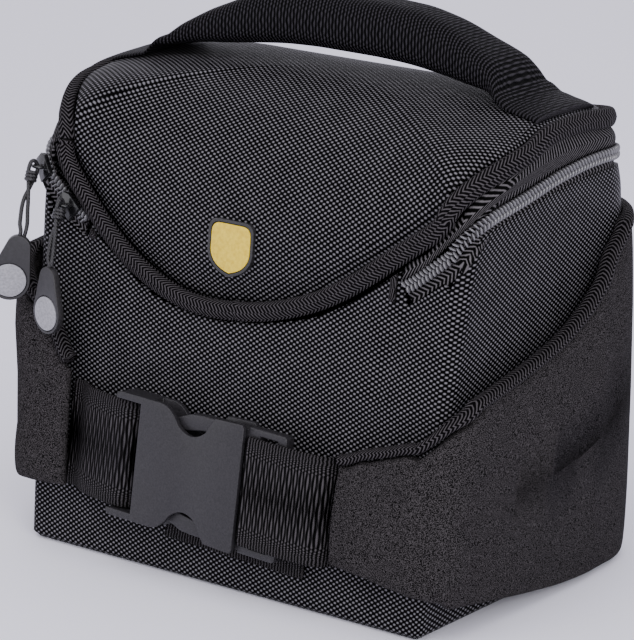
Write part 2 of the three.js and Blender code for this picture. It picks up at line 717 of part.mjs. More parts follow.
{
  const height = rimHeight * badgeHeightShare;
  let share = 1;
  while (lidPoint(0, share).z < height) share -= 0.002;
  const seat = lidPoint(0, share);
  const above = lidPoint(0, share - 0.02);
  const up = above.clone().sub(seat).normalize();
  const right = new THREE.Vector3(1, 0, 0);
  const out = new THREE.Vector3().crossVectors(right, up).normalize();
  seat.x = badgeShift;
  seat.addScaledVector(out, clearance);
  const frame = new THREE.Matrix4().makeBasis(right, up, out).setPosition(seat);
  const options = { bevelEnabled: false, curveSegments: 8 };
  const plate = new THREE.ExtrudeGeometry(shieldShape(badgeSize), { depth: badgeThickness, ...options });
  const well = new THREE.ExtrudeGeometry(shieldShape(badgeSize - badgeRim), {
    depth: badgeThickness,
    ...options,
  });
  well.translate(0, 0, badgeThickness / 2);
  const rim = toGeometry(toSolid(plate).subtract(toSolid(well)));
  rim.applyMatrix4(frame);
  addPiece("badge_rim", rim, badgeBlack, 0.6);
  const face = new THREE.ExtrudeGeometry(shieldShape(badgeSize - badgeRim - 2 * clearance), {
    depth: badgeThickness / 2 - clearance,
    ...options,
  });
  face.translate(0, 0, badgeThickness / 2 + clearance);
  face.applyMatrix4(frame);
  addPiece("badge_face", face, badgeYellow, 0.5);
}

// Handle: webbing sewn flat to each side of the lid and folded round a padded grip in the middle.
const stationSides = 12;
const handleSquareness = 0.55;
const layGap = 1.5 * clearance + handleWebThickness / 2;

function handleSection(station, side) {
  const x = side * station.reach * handleReach + station.shift * gripShift;
  const setback = handleSetback + side * station.reach * handleTwist;
  const depth = THREE.MathUtils.lerp(gripDepth, handleWebWidth, station.webbing);
  const tall = THREE.MathUtils.lerp(gripHeight, handleWebThickness, station.webbing);
  const section = [];
  for (let i = 0; i < stationSides; i++) {
    const turn = ((i + 0.5) * 2 * Math.PI) / stationSides;
    const a = Math.sign(Math.cos(turn)) * Math.abs(Math.cos(turn)) ** handleSquareness;
    const b = Math.sign(Math.sin(turn)) * Math.abs(Math.sin(turn)) ** handleSquareness;
    const y = setback + (a * depth) / 2;
    const seat = station.laid ? lidHeight(x, y) : lidCrest - side * station.reach * handleTilt;
    section.push(new THREE.Vector3(x, y, seat + layGap + station.rise * handleRise + (b * tall) / 2));
  }
  return section;
}

addPiece(
  "handle",
  loft([
    ...handleStations.map((station) => handleSection(station, -1)),
    ...handleStations
      .slice()
      .reverse()
      .map((station) => handleSection(station, 1)),
  ]),
  webbingBlack,
  0.8,
);

// Wings: padded panels that wrap the sides, with a tape binding on the upper edge of each. The pad
// swells between its edges, and the belt draws it in at the height of the webbing.
const wingSteps = 6;
const wingSoftEdge = 0.2 * wingThickness;
const drawnAt = beltMiddle + beltHeight / 4;
const drawnSpan = beltHeight / 3;

function wingPieces(name, side, table) {
  const highAt = (p) => rimHeight * columnAt(table, Math.abs(p), "high");
  const places = table.map((row) => side * row.along);
  const sections = table.map((row) => {
    const place = side * row.along;
    const low = row.low * rimHeight;
    const high = highAt(place) - halfUpWall(highAt, place, wingBindingHeight, wingThickness) - clearance;
    const free = Math.min(1, row.standoff) * row.thick;
    const outer = [];
    const inner = [];
    for (let i = 0; i <= wingSteps; i++) {
      const share = i / wingSteps;
      const height = THREE.MathUtils.lerp(low, high, share);
      const swell = wingBulge * Math.sin(Math.PI * share);
      const bite = wingBite * row.draw * Math.exp(-(((height - drawnAt) / drawnSpan) ** 2));
      const off = (row.standoff + row.flare * share) * wingThickness + free * swell - bite;
      const edge = i === 0 || i === wingSteps ? wingSoftEdge : 0;
      outer.push(wallPoint(place, height, off + row.thick * wingThickness - edge));
      inner.unshift(wallPoint(place, height, off));
    }
    return [...outer, ...inner];
  });
  addPiece("wing_" + name, loft(sections), foamBlack, 0.95);
  const outAt = (p) => {
    const place = Math.abs(p);
    const [standoff, flare, thick] = ["standoff", "flare", "thick"].map((key) => columnAt(table, place, key));
    return (standoff + flare + thick / 2) * wingThickness;
  };
  const thicknessAt = (p) => Math.min(wingBindingThickness, 2 * outAt(p) - clearance);
  const binding = rollRings(places, highAt, outAt, wingBindingHeight, thicknessAt, 6);
  addPiece("wing_binding_" + name, loft(binding), bindingBlack, 0.85);
}
wingPieces("right", 1, rightWing);
wingPieces("left", -1, leftWing);

// The belt's middle lies in a plane of its own that leans with the front wall.
const belt = new THREE.Group();
const leanAngle = Math.atan(frontLean);
const beltSeat = wallPoint(0, beltMiddle, 0);
belt.position.set(buckleShift, beltSeat.y, beltSeat.z);
belt.rotation.set(Math.PI / 2 - leanAngle, 0, 0);
const buckleGroup = new THREE.Group();
buckleGroup.rotation.z = THREE.MathUtils.degToRad(beltTilt);
belt.add(buckleGroup);
bag.add(belt);

// Side-release buckle: a socket and a plug, each with a slot and a bar for its webbing.
const halfLength = buckleLength / 2;
const halfHeight = buckleHeight / 2;
const socketRight = halfLength - barWidth - slotWidth - 7;
const socketLeft = -halfLength;
const notchCentre = -3;
const notchDepth = 10.5;

function socketShape() {
  const shape = new THREE.Shape();
  const round = 2.5;
  shape.moveTo(socketLeft + round, -halfHeight);
  shape.lineTo(notchCentre - notchRadius - 6, -halfHeight);
  shape.quadraticCurveTo(
    notchCentre - notchRadius,
    -halfHeight,
    notchCentre - notchRadius * 0.62,
    -halfHeight + notchDepth * 0.7,
  );
  shape.quadraticCurveTo(notchCentre, -halfHeight + notchDepth * 1.3, notchCentre + notchRadius * 0.62,
    -halfHeight + notchDepth * 0.7);
  shape.lineTo(notchCentre + notchRadius, -halfHeight);
  shape.lineTo(socketRight - 1, -halfHeight - 0.6);
  shape.lineTo(socketRight, -halfHeight + 1);
  shape.lineTo(socketRight, halfHeight - 1);
  shape.lineTo(socketRight - 1, halfHeight + 0.6);
  shape.lineTo(notchCentre + notchRadius, halfHeight);
  shape.lineTo(notchCentre + notchRadius * 0.62, halfHeight - notchDepth * 0.7);
  shape.quadraticCurveTo(notchCentre, halfHeight - notchDepth * 1.3, notchCentre - notchRadius * 0.62,
    halfHeight - notchDepth * 0.7);
  shape.quadraticCurveTo(
    notchCentre - notchRadius,
    halfHeight,
    notchCentre - notchRadius - 6,
    halfHeight,
  );
  shape.lineTo(socketLeft + round, halfHeight);
  shape.quadraticCurveTo(socketLeft, halfHeight, socketLeft, halfHeight - round);
  shape.lineTo(socketLeft, -halfHeight + round);
  shape.quadraticCurveTo(socketLeft, -halfHeight, socketLeft + round, -halfHeight);
  return shape;
}

function boxSolid(x0, x1, y0, y1, z0, z1) {
  const box = new THREE.BoxGeometry(x1 - x0, y1 - y0, z1 - z0);
  box.translate((x0 + x1) / 2, (y0 + y1) / 2, (z0 + z1) / 2);
  return toSolid(box);
}

const buckleBack = buckleStandoff;
const buckleFront = buckleStandoff + buckleThickness;
const slotLeft = socketLeft + barWidth;
const slotRight = slotLeft + slotWidth;
const pocketLeft = slotRight + 5;
const slotHalf = halfHeight - railHeight;
const barFront = buckleFront - webThickness - 2.2;
{
  const plate = new THREE.ExtrudeGeometry(socketShape(), {
    depth: buckleThickness,
    bevelEnabled: false,
    curveSegments: 6,
  });
  plate.translate(0, 0, buckleBack);
  const socket = toSolid(plate)
    .subtract(boxSolid(slotLeft, slotRight, -slotHalf, slotHalf, buckleBack - 1, buckleFront + 1))
    .subtract(boxSolid(socketLeft - 1, slotLeft + 0.01, -slotHalf, slotHalf, barFront, buckleFront + 1))
    .subtract(
      boxSolid(
        pocketLeft,
        socketRight + 1,
        -halfHeight - 1,
        halfHeight + 1,
        buckleBack + bucklePlate,
        buckleFront - bucklePlate,
      ),
    );
  addPiece("buckle_socket", toGeometry(socket), buckleGrey, 0.5, buckleGroup);
}

// Plug: frame with slot and bar on the right, two prongs that show in the notches and a centre tongue.
const plugRight = halfLength;
const plugSlotRight = plugRight - barWidth;
const plugSlotLeft = plugSlotRight - slotWidth;
const plugLeft = pocketLeft + 6;
const plugMiddle = (buckleBack + buckleFront) / 2;
{
  const shape = new THREE.Shape();
  const tongue = 5;
  const prong = 5.5;
  const prongOuter = halfHeight - 1.2;
  const shoulder = socketRight + 0.8;
  shape.moveTo(shoulder, -tongue);
  shape.lineTo(plugLeft + 6, -tongue * 0.8);
  shape.lineTo(plugLeft + 6, tongue * 0.8);
  shape.lineTo(shoulder, tongue);
  shape.lineTo(shoulder, prongOuter - prong);
  shape.lineTo(notchCentre + 4, prongOuter - prong - 1);
  shape.lineTo(plugLeft, prongOuter - prong - 5);
  shape.lineTo(plugLeft, prongOuter - prong - 1);
  shape.lineTo(notchCentre - 3, prongOuter - 0.6);
  shape.lineTo(notchCentre + 3, prongOuter);
  shape.lineTo(shoulder, prongOuter);
  shape.lineTo(shoulder, halfHeight);
  shape.lineTo(plugRight - 2, halfHeight);
  shape.quadraticCurveTo(plugRight, halfHeight, plugRight, halfHeight - 2);
  shape.lineTo(plugRight, -halfHeight + 2);
  shape.quadraticCurveTo(plugRight, -halfHeight, plugRight - 2, -halfHeight);
  shape.lineTo(shoulder, -halfHeight);
  shape.lineTo(shoulder, -prongOuter);
  shape.lineTo(notchCentre + 3, -prongOuter);
  shape.lineTo(notchCentre - 3, -prongOuter + 0.6);
  shape.lineTo(plugLeft, -(prongOuter - prong - 1));
  shape.lineTo(plugLeft, -(prongOuter - prong - 5));
  shape.lineTo(notchCentre + 4, -(prongOuter - prong - 1));
  shape.lineTo(shoulder, -(prongOuter - prong));
  shape.closePath();
  const plate = new THREE.ExtrudeGeometry(shape, {
    depth: plugThickness,
    bevelEnabled: false,
    curveSegments: 4,
  });
  plate.translate(0, 0, plugMiddle - plugThickness / 2);
  const plug = toSolid(plate).subtract(
    boxSolid(plugSlotLeft, plugSlotRight, -slotHalf, slotHalf, buckleBack, buckleFront),
  );
  addPiece("buckle_plug", toGeometry(plug), buckleGrey, 0.5, buckleGroup);
}

// Webbing as a flat ribbon through points of (across, off the wall), all of one height.
function ribbon(path, half, thickness) {
  const rings = path.map((p, i) => {
    const before = path[Math.max(i - 1, 0)];
    const after = path[Math.min(i + 1, path.length - 1)];
    const run = new THREE.Vector2(after.x - before.x, after.y - before.y).normalize();
    const off = new THREE.Vector2(-run.y, run.x).multiplyScalar(thickness / 2);
    return [
      new THREE.Vector3(p.x + off.x, -half, p.y + off.y),
      new THREE.Vector3(p.x + off.x, half, p.y + off.y),
      new THREE.Vector3(p.x - off.x, half, p.y - off.y),
      new THREE.Vector3(p.x - off.x, -half, p.y - off.y),
    ];
  });
  return loft(rings);
}

const webHalf = Math.min(beltHeight / 2, slotHalf - clearance) - clearance;
const underWing = clearance + webThickness / 2;
const overBar = barFront + clearance + webThickness / 2;
const leftWingStart = -wallPoint(leftWing[0].along, beltMiddle).x - buckleShift;
const rightWingStart = wallPoint(rightWing[0].along, beltMiddle).x - buckleShift;
addPiece(
  "strap_left",
  ribbon(
    [
      new THREE.Vector2(leftWingStart - 3, underWing + 1),
      new THREE.Vector2(leftWingStart + 3, underWing + 1.6),
      new THREE.Vector2(leftWingStart + 12, overBar * 0.7),
      new THREE.Vector2(socketLeft - 6, overBar - 0.6),
      new THREE.Vector2(socketLeft - 1, overBar),
      new THREE.Vector2(slotLeft, overBar),
      new THREE.Vector2(slotLeft + 3.6, overBar - 3),
      new THREE.Vector2(slotLeft + 4, buckleBack + 1),
    ],
    webHalf,
    webThickness,
  ),
  webbingBlack,
  0.85,
  buckleGroup,
);
const overPlugBar = plugMiddle + plugThickness / 2 + clearance + webThickness / 2;
addPiece(
  "strap_right",
  ribbon(
    [
      new THREE.Vector2(rightWingStart + 9, underWing + 1),
      new THREE.Vector2(rightWingStart + 1, underWing + 1.2),
      new THREE.Vector2(rightWingStart - 3, underWing + 2.4),
      new THREE.Vector2(rightWingStart - 7, overPlugBar * 0.8),
      new THREE.Vector2(plugRight + 6, overPlugBar - 0.4),
      new THREE.Vector2(plugRight + 1, overPlugBar),
      new THREE.Vector2(plugSlotRight, overPlugBar),
      new THREE.Vector2(plugSlotRight - 3.6, overPlugBar - 3),
      new THREE.Vector2(plugSlotRight - 4, buckleBack + 1),
    ],
    webHalf,
    webThickness,
  ),
  webbingBlack,
  0.85,
  buckleGroup,
);

// Free end of the right webbing, which lies behind the buckle and shows below it.
{
  const tailDrop = 0.16 * beltHeight;
  const tailEnd = -0.24 * buckleLength;
  const tailOut = clearance + webThickness / 2;
  const half = beltHeight / 2;
  const slant = 0.14 * beltHeight;
  const shape = new THREE.Shape();
  shape.moveTo(tailEnd, -half - tailDrop);
  shape.lineTo(plugRight + 8, -half - tailDrop);
  shape.lineTo(plugRight + 8, half - tailDrop);
  shape.lineTo(tailEnd + slant, half - tailDrop);
  shape.closePath();
  const tail = new THREE.ExtrudeGeometry(shape, { depth: webThickness, bevelEnabled: false });
  tail.translate(0, 0, tailOut - webThickness / 2 + clearance);
  addPiece("strap_tail", tail, webbingBlack, 0.85, buckleGroup);
}

// Plain plate on the back that the handlebar bracket takes hold of.
{
  const plate = new THREE.BoxGeometry(mountWidth, mountThickness, mountHeight);
  const mesh = addPiece("mount_plate", plate, buckleGrey, 0.6);
  const middle = rimHeight * mountMiddleShare;
  const seat = wallPoint(5, middle - mountHeight / 2).y;
  mesh.position.set(0, seat + clearance + mountThickness / 2, middle);
}

export default bag;
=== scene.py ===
import math
from bisect import bisect_left
from functools import lru_cache

import bmesh
import bpy
from mathutils import Matrix, Vector


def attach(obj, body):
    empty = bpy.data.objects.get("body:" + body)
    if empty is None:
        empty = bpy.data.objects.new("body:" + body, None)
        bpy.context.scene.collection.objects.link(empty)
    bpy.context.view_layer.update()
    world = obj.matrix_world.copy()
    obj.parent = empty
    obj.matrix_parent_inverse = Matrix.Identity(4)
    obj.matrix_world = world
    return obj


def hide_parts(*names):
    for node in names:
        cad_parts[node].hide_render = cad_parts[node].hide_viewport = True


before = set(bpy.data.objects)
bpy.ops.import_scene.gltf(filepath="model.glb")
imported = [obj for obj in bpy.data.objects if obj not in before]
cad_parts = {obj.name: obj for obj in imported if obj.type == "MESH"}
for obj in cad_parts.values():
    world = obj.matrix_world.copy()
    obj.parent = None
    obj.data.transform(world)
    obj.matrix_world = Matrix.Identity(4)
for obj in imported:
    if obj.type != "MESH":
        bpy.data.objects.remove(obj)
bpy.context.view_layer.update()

# Studio: a pale sheet of matt paper under the bag in a pale room, with three soft square lamps: one
# overhead, a stronger one at the front right and a weak one at the front left. The bag is seen
# from 38 degrees round to the right and 17 degrees up.
MM = 0.001


def linear(colour):
    """An sRGB hex colour as the linear values that a shader takes."""
    channels = [int(colour[i : i + 2], 16) / 255 for i in (1, 3, 5)]
    return [c / 12.92 if c <= 0.04045 else ((c + 0.055) / 1.055) ** 2.4 for c in channels] + [1.0]


def add_node(material, kind, links=None, **settings):
    """Adds one node; links are {socket: value or (node, output)}, settings its own options."""
    made = material.node_tree.nodes.new("ShaderNode" + kind)
    for key, value in settings.items():
        setattr(made, key, value)
    for key, value in (links or {}).items():
        if isinstance(value, tuple) and hasattr(value[0], "outputs"):
            material.node_tree.links.new(value[0].outputs[value[1]], made.inputs[key])
        else:
            made.inputs[key].default_value = value
    return made


def new_material(name):
    """A material with one Principled shader."""
    material = bpy.data.materials.new(name)
    material.use_nodes = True
    return material, material.node_tree.nodes["Principled BSDF"]


def finish(material, shader, roughness, specular=None, colour=None, relief=None):
    """Sets a shader's gloss, and links the nodes that give its colour and its relief."""
    for node, output, socket in ((colour, "Color", "Base Color"), (relief, "Normal", "Normal")):
        if node:
            material.node_tree.links.new(node.outputs[output], shader.inputs[socket])
    shader.inputs["Roughness"].default_value = roughness
    if specular is not None:
        shader.inputs["Specular IOR Level"].default_value = specular


def link_object(name, bm, material=None, smooth=True):
    """Makes the finished mesh an object at the origin."""
    mesh = bpy.data.meshes.new(name)
    bm.to_mesh(mesh)
    bm.free()
    made = bpy.data.objects.new(name, mesh)
    bpy.context.scene.collection.objects.link(made)
    if material:
        mesh.materials.append(material)
    for polygon in mesh.polygons:
        polygon.use_smooth = smooth
    return made


paper, shader = new_material("matt_paper")
shader.inputs["Base Color"].default_value = linear("#f2f1fb")
finish(paper, shader, roughness=0.9)

floor_mesh = bmesh.new()
bmesh.ops.create_grid(floor_mesh, x_segments=1, y_segments=1, size=6)
bmesh.ops.translate(floor_mesh, vec=(0, 0, -0.0004), verts=floor_mesh.verts[:])
floor = link_object("floor", floor_mesh, paper, smooth=False)

world = bpy.data.worlds.new("studio")
bpy.context.scene.world = world
world.use_nodes = True
world.node_tree.nodes["Background"].inputs["Color"].default_value = linear("#e3e1ec")
world.node_tree.nodes["Background"].inputs["Strength"].default_value = 1.5


def soft_lamp(name, place, aim, width, power):
    """A square area lamp that looks at a point."""
    data = bpy.data.lights.new(name, "AREA")
    data.size = width
    data.energy = power
    made = bpy.data.objects.new(name, data)
    bpy.context.scene.collection.objects.link(made)
    made.location = place
    made.rotation_mode = "QUATERNION"
    made.rotation_quaternion = (Vector(aim) - Vector(place)).to_track_quat("-Z", "Y")


soft_lamp("lamp_over", (0.15, -0.75, 1.3), (0, 0, 0.12), width=0.9, power=6)
soft_lamp("lamp_right", (1.2, -0.9, 0.6), (0, 0, 0.1), width=0.7, power=12)
soft_lamp("lamp_left", (-0.9, -1.1, 0.5), (0, 0, 0.1), width=0.7, power=2)

view_back = Vector((0.5889, -0.7551, 0.2884)).normalized()
view_target = Vector((0, 0, 0.085))
view_distance = 1.6
camera_data = bpy.data.cameras.new("camera")
camera_data.sensor_width = 36
camera_data.lens = 209.0
camera_data.shift_x = -0.0145
camera_data.shift_y = 0.0527
camera_data.clip_start = 0.05
camera_data.clip_end = 30
camera = bpy.data.objects.new("camera", camera_data)
bpy.context.scene.collection.objects.link(camera)
camera.location = view_target + view_back * view_distance
camera.rotation_mode = "QUATERNION"
camera.rotation_quaternion = (-view_back).to_track_quat("-Z", "Y")
bpy.context.scene.camera = camera

# Body: one cup of stiffened ballistic nylon, sewn as a box with round corners, that leans back at
# the front. The cloth is a coarse plain weave of thick glossy yarn; the light on each float is
# painted into its colour.
base_width = 212
base_depth = 151
rim_height = 200
lid_crest = 209.5
front_lean = 0.13
side_flare = 0.05
front_corner = 40
rear_corner = 26
base_round = 3
clearance = 0.35
binding_width = 8.6
coil_width = 6.2
lower_tape_width = 4.5
zip_start = 0.79
zip_turn = 0.03
seam_allowance = 1.3
body_wall = 3
tape_in_sight = 3
cloth_thickness = 2.4
cloth_fullness = 1.6
corner_dent = 1.3
rim_pucker = 0.35
wall_steps = 40

# The wall's plan by share of the rim's height: front corner, back wall and rear corner as shares of
# the largest front corner, half the depth and the largest rear corner.
wall_shape = [
    (0, 0.1, 1, 1), (0.7, 0.15, 0.98, 1), (0.82, 0.22, 0.94, 0.96), (0.9, 0.5, 0.848, 0.885),
    (0.965, 0.84, 0.755, 0.846), (1.03, 1, 0.702, 0.846),
]

# (along, share of the rim's height on the right, the same on the left); along runs round the bag:
# 0 front middle, 1 to 2 the front corner, 3 to 4 the rear corner, 5 rear middle.
lid_edge = [
    (0, 0.589, 0.589), (0.1, 0.595, 0.583), (0.2, 0.608, 0.584), (0.3, 0.625, 0.591),
    (0.4, 0.646, 0.61), (0.5, 0.673, 0.634), (0.6, 0.711, 0.664), (0.7, 0.749, 0.707),
    (0.8, 0.788, 0.76), (0.9, 0.823, 0.81), (1, 0.847, 0.852), (1.1, 0.865, 0.884),
    (1.25, 0.884, 0.917), (1.4, 0.902, 0.941), (1.55, 0.925, 0.955), (1.7, 0.946, 0.966),
    (2, 0.988, 0.978), (2.33, 1, 0.985), (2.7, 1.002, 0.988), (3, 0.997, 0.987), (3.4, 0.987, 0.982),
    (3.7, 0.976, 0.976), (4, 0.967, 0.967), (5, 0.963, 0.963),
]
zip_line = [
    (0.77, 0.69), (0.86, 0.733), (0.97, 0.78), (1.11, 0.803), (1.33, 0.82), (1.68, 0.85),
    (2.15, 0.87), (2.5, 0.9), (2.94, 0.913), (3.3, 0.91), (4, 0.885), (5, 0.88),
]


def mix(a, b, share):
    return a + (b - a) * share


def smooth(share):
    share = min(1, max(0, share))
    return share * share * (3 - 2 * share)


def read_smooth(table, place, column):
    """Reads a column of a table in an even curve that never passes beyond its own rows."""
    i = 1
    while i < len(table) - 1 and table[i][0] < place:
        i += 1
    a, b = table[i - 1], table[i]
    span = b[0] - a[0]
    share = min(1.0, max(0.0, (place - a[0]) / span))

    def slope(j):
        if j in (0, len(table) - 1):
            return 0.0
        low, here, high = table[j - 1], table[j], table[j + 1]
        before = (here[column] - low[column]) / (here[0] - low[0])
        after = (high[column] - here[column]) / (high[0] - here[0])
        return 2 * before * after / (before + after) if before * after > 0 else 0.0

    first, last = slope(i - 1) * span, slope(i) * span
    rise = b[column] - a[column]
    return a[column] + share * (
        first + share * (3 * rise - 2 * first - last + share * (first + last - 2 * rise))
    )


@lru_cache(maxsize=None)
def plan_at(height):
    """Half width, front, back and the two corner radii of the wall at a height."""
    share = height / rim_height
    return (
        base_width / 2 + side_flare * height,
        -base_depth / 2 + front_lean * height,
        base_depth / 2 * read_smooth(wall_shape, share, 2),
        front_corner * read_smooth(wall_shape, share, 1),
        rear_corner * read_smooth(wall_shape, share, 3),
    )


def wall(along, height, out=0.0):
    """A point of the bag's wall; along is minus on the left, out is the distance off the wall."""
    place = abs(along)
    half_width, front, back, corner, rear = plan_at(height)
    if place <= 1:
        x, y = place * (half_width - corner), front - out
    elif place <= 2:
        turn = (place - 1) * math.pi / 2
        x = half_width - corner + (corner + out) * math.sin(turn)
        y = front + corner - (corner + out) * math.cos(turn)
    elif place <= 3:
        x, y = half_width + out, mix(front + corner, back - rear, place - 2)
    elif place <= 4:
        turn = (place - 3) * math.pi / 2
        x = half_width - rear + (rear + out) * math.cos(turn)
        y = back - rear + (rear + out) * math.sin(turn)
    else:
        x, y = (half_width - rear) * (5 - place), back + out
    return Vector((math.copysign(x, along) if along else x, y, height))


def lengths_along(points):
    """The length of a line of points, up to each of them."""
    lengths = [0.0]
    for near, far in zip(points, points[1:]):
        lengths.append(lengths[-1] + (far - near).length)
    return lengths


line_steps = [i / wall_steps for i in range(5 * wall_steps + 1)]
line_lengths = lengths_along([wall(step, 0.88 * rim_height) for step in line_steps])
run_lengths = lengths_along([wall(step, 100) for step in line_steps])


def length_at(lengths, along):
    place = min(abs(along), 5) * wall_steps
    i = min(int(place), 5 * wall_steps - 1)
    return mix(lengths[i], lengths[i + 1], place - i)


def evened(table, along, right, left, spread=5.0):
    """A line's height, eased over some millimetres each way: a sewn tape can't turn sharply."""
    here = length_at(line_lengths, along)
    total = weight_sum = 0.0
    for k in range(-3, 4):
        there = min(here + k * spread, 2 * line_lengths[-1] - here - k * spread)
        side = -along if there < 0 else along
        there = abs(there)
        j = max(min(bisect_left(line_lengths, there), 5 * wall_steps), 1)
        span = line_lengths[j] - line_lengths[j - 1]
        step = mix(line_steps[j - 1], line_steps[j], (there - line_lengths[j - 1]) / span)
        weight = 4 - abs(k)
        total += weight * read_smooth(table, step, left if side < 0 else right)
        weight_sum += weight
    return rim_height * total / weight_sum


@lru_cache(maxsize=None)
def rim_at(along):
    return evened(lid_edge, along, 1, 2)


@lru_cache(maxsize=None)
def zip_at(along):
    return evened(zip_line, along, 1, 1)


def wall_run(along):
    """Length round the bag in millimetres, from the front middle, for the lie of the weave."""
    return math.copysign(length_at(run_lengths, along), along)


@lru_cache(maxsize=None)
def half_up_wall(height_at, along, width, out=-body_wall):
    """Height up the wall that half of a band takes where the band runs along a sloping line."""
    place, sign, reach = abs(along), (-1 if along < 0 else 1), 0.11
    steepest = 1
    for low, high in ((place - reach, place), (place, place + reach)):
        low, high = sign * max(low, 0), sign * min(high, 5)
        a, b = wall(low, height_at(low), out), wall(high, height_at(high), out)
        level = math.hypot(b.x - a.x, b.y - a.y)
        if level:
            steepest = max(steepest, math.hypot(level, b.z - a.z) / level)
    return width / 2 * steepest + seam_allowance * smooth((steepest - 1.02) / 0.1)


def flap_foot(along):
    """Where the lid's edge binding ends on the wall."""
    return rim_at(along) - (half_up_wall(rim_at, along, binding_width) + clearance)


def skin(name, across, up, place, run, material, caps=False):
    """Cloth as a grid of across by up faces; place gives each point in millimetres from its shares,
    and run gives its place on the flat cloth, also in millimetres, which its weave follows."""
    bm = bmesh.new()
    bmesh.ops.create_grid(bm, x_segments=across, y_segments=up, size=0.5)
    layer = bm.loops.layers.uv.new("cloth")
    shares = {v: (v.co.x + 0.5, v.co.y + 0.5) for v in bm.verts}
    for face in bm.faces:
        for corner in face.loops:
            corner[layer].uv = Vector(run(*shares[corner.vert])) * MM
    for vertex, share in shares.items():
        vertex.co = place(*share) * MM
    bmesh.ops.remove_doubles(bm, verts=bm.verts[:], dist=2e-6)
    if caps:
        edges = [e for e in bm.edges if e.is_boundary]
        bmesh.ops.holes_fill(bm, edges=edges, sides=0)
    bmesh.ops.recalc_face_normals(bm, faces=bm.faces[:])
    return link_object(name, bm, material)


def wave(x, middle, width):
    """A soft hump of height 1."""
    return math.exp(-(((x - middle) / width) ** 2))


def body_ease(along, height):
    """How far the cloth stands off the pattern's wall: it is full over the belt, dented at the front
    corners and puckered under its top edge."""
    top = cloth_top_at(along)
    share = height / top
    place = abs(along)
    front = smooth((1.25 - place) / 0.5)
    full = cloth_fullness * math.sin(math.pi * min(1, share)) * front * smooth((height - 82) / 12)
    dent = wave(place, 0.735 + (height - 105) * 0.0027, 0.045) * smooth((height - 86) / 14)
    pucker = rim_pucker * math.sin(place * 19) * smooth((height - top + 16) / 14) * front
    return full - corner_dent * dent + pucker


@lru_cache(maxsize=None)
def cloth_top_at(along):
    """Top of the outer cloth, which laps over the zip's lower tape and leaves a strip in sight."""
    under_flap = flap_foot(along)
    under_coil = zip_at(along) - half_up_wall(zip_at, along, coil_width)
    under_zip = min(under_flap, under_coil - tape_in_sight)
    turn = 0.6 * zip_turn
    return mix(under_flap, under_zip, smooth((abs(along) - zip_start + turn) / turn))


def body_place(across, up):
    along = mix(-5, 5, across)
    height = cloth_top_at(along) * up
    turn = min(1, height / base_round)
    tuck = base_round * (1 - math.sqrt(max(0, 1 - (1 - turn) ** 2)))
    return wall(along, height, body_ease(along, height) - tuck)


# Ballistic nylon, woven from thick filament yarn: warp 1.6 mm and weft 1.1 mm apart. The pale grains
# on the floats of the weft are painted highlight, and the nearly black gaps between them are
# painted shade.
def woven(name, warp, weft, pale, dark):
    material, shader = new_material(name)
    place = add_node(material, "UVMap", uv_map="cloth")
    parts = add_node(material, "SeparateXYZ", {"Vector": (place, "UV")})
    waves = []
    for axis, spacing in (("X", warp), ("Y", weft)):
        turned = add_node(
            material, "Math", {0: (parts, axis), 1: math.pi / (spacing * MM)}, operation="MULTIPLY"
        )
        waves.append(add_node(material, "Math", {0: (turned, 0)}, operation="SINE"))
    floats = add_node(material, "Math", {0: (waves[0], 0), 1: (waves[1], 0)}, operation="MULTIPLY")
    drift = add_node(
        material, "TexNoise",
        {"Vector": (place, "UV"), "Scale": 90.0, "Detail": 2.0, "Roughness": 0.6},
    )
    uneven = add_node(
        material, "MapRange",
        {"Value": (drift, "Fac"), "From Min": 0.3, "From Max": 0.7, "To Min": -0.05, "To Max": 0.05},
    )
    level = add_node(material, "Math", {0: (floats, 0), 1: (uneven, 0)}, operation="ADD")
    lit = add_node(
        material, "MapRange",
        {"Value": (level, 0), "From Min": -0.35, "From Max": 1.0, "To Min": 0.0, "To Max": 1.0},
    )
    # Painted light: pale on each float is painted highlight, near black between the floats painted
    # shade.
    ramp = add_node(material, "ValToRGB", {"Fac": (lit, "Result")})
    ramp.color_ramp.elements[0].position = 0.0
    ramp.color_ramp.elements[0].color = linear("#010101")
    ramp.color_ramp.elements[1].position = 0.95
    ramp.color_ramp.elements[1].color = linear(pale)
    ramp.color_ramp.elements.new(0.3).color = linear(dark)
    relief = add_node(
        material, "Bump", {"Height": (level, 0), "Strength": 0.35, "Distance": 0.0003}
    )
    finish(material, shader, roughness=0.42, specular=0.02, colour=ramp, relief=relief)
    return material


ballistic_nylon = woven(
    "ballistic_nylon_weave", warp=1.6, weft=1.1, pale="#727074", dark="#040304"
)

body = skin(
    "bag_body", 300, 60, body_place,
    lambda across, up: (wall_run(mix(-5, 5, across)), cloth_top_at(mix(-5, 5, across)) * up),
    ballistic_nylon,
)
base = bmesh.new()
base.from_mesh(body.data)
low_edges = [e for e in base.edges if e.is_boundary and max(v.co.z for v in e.verts) < 0.001]
bmesh.ops.contextual_create(base, geom=low_edges)
bmesh.ops.recalc_face_normals(base, faces=base.faces[:])
base.to_mesh(body.data)
base.free()
shell = body.modifiers.new("cloth_and_stiffener", "SOLIDIFY")
shell.thickness = cloth_thickness * MM
shell.offset = -1
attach(body, "root")
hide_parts("body_shell")

# Lid: a padded panel of the same nylon over thin foam that runs over the front as a U-shaped flap.
# It is crowned, and drawn down where it is sewn into its edge binding.
crest_setback = 12
flap_squareness = 2.5
side_squareness = 1.9
lid_set_in = 2.95
lid_tuck = binding_width / 6
lid_foam = 3.4
lid_swell = 1.2
lid_sewn_in = 1.6
flap_steps = 60


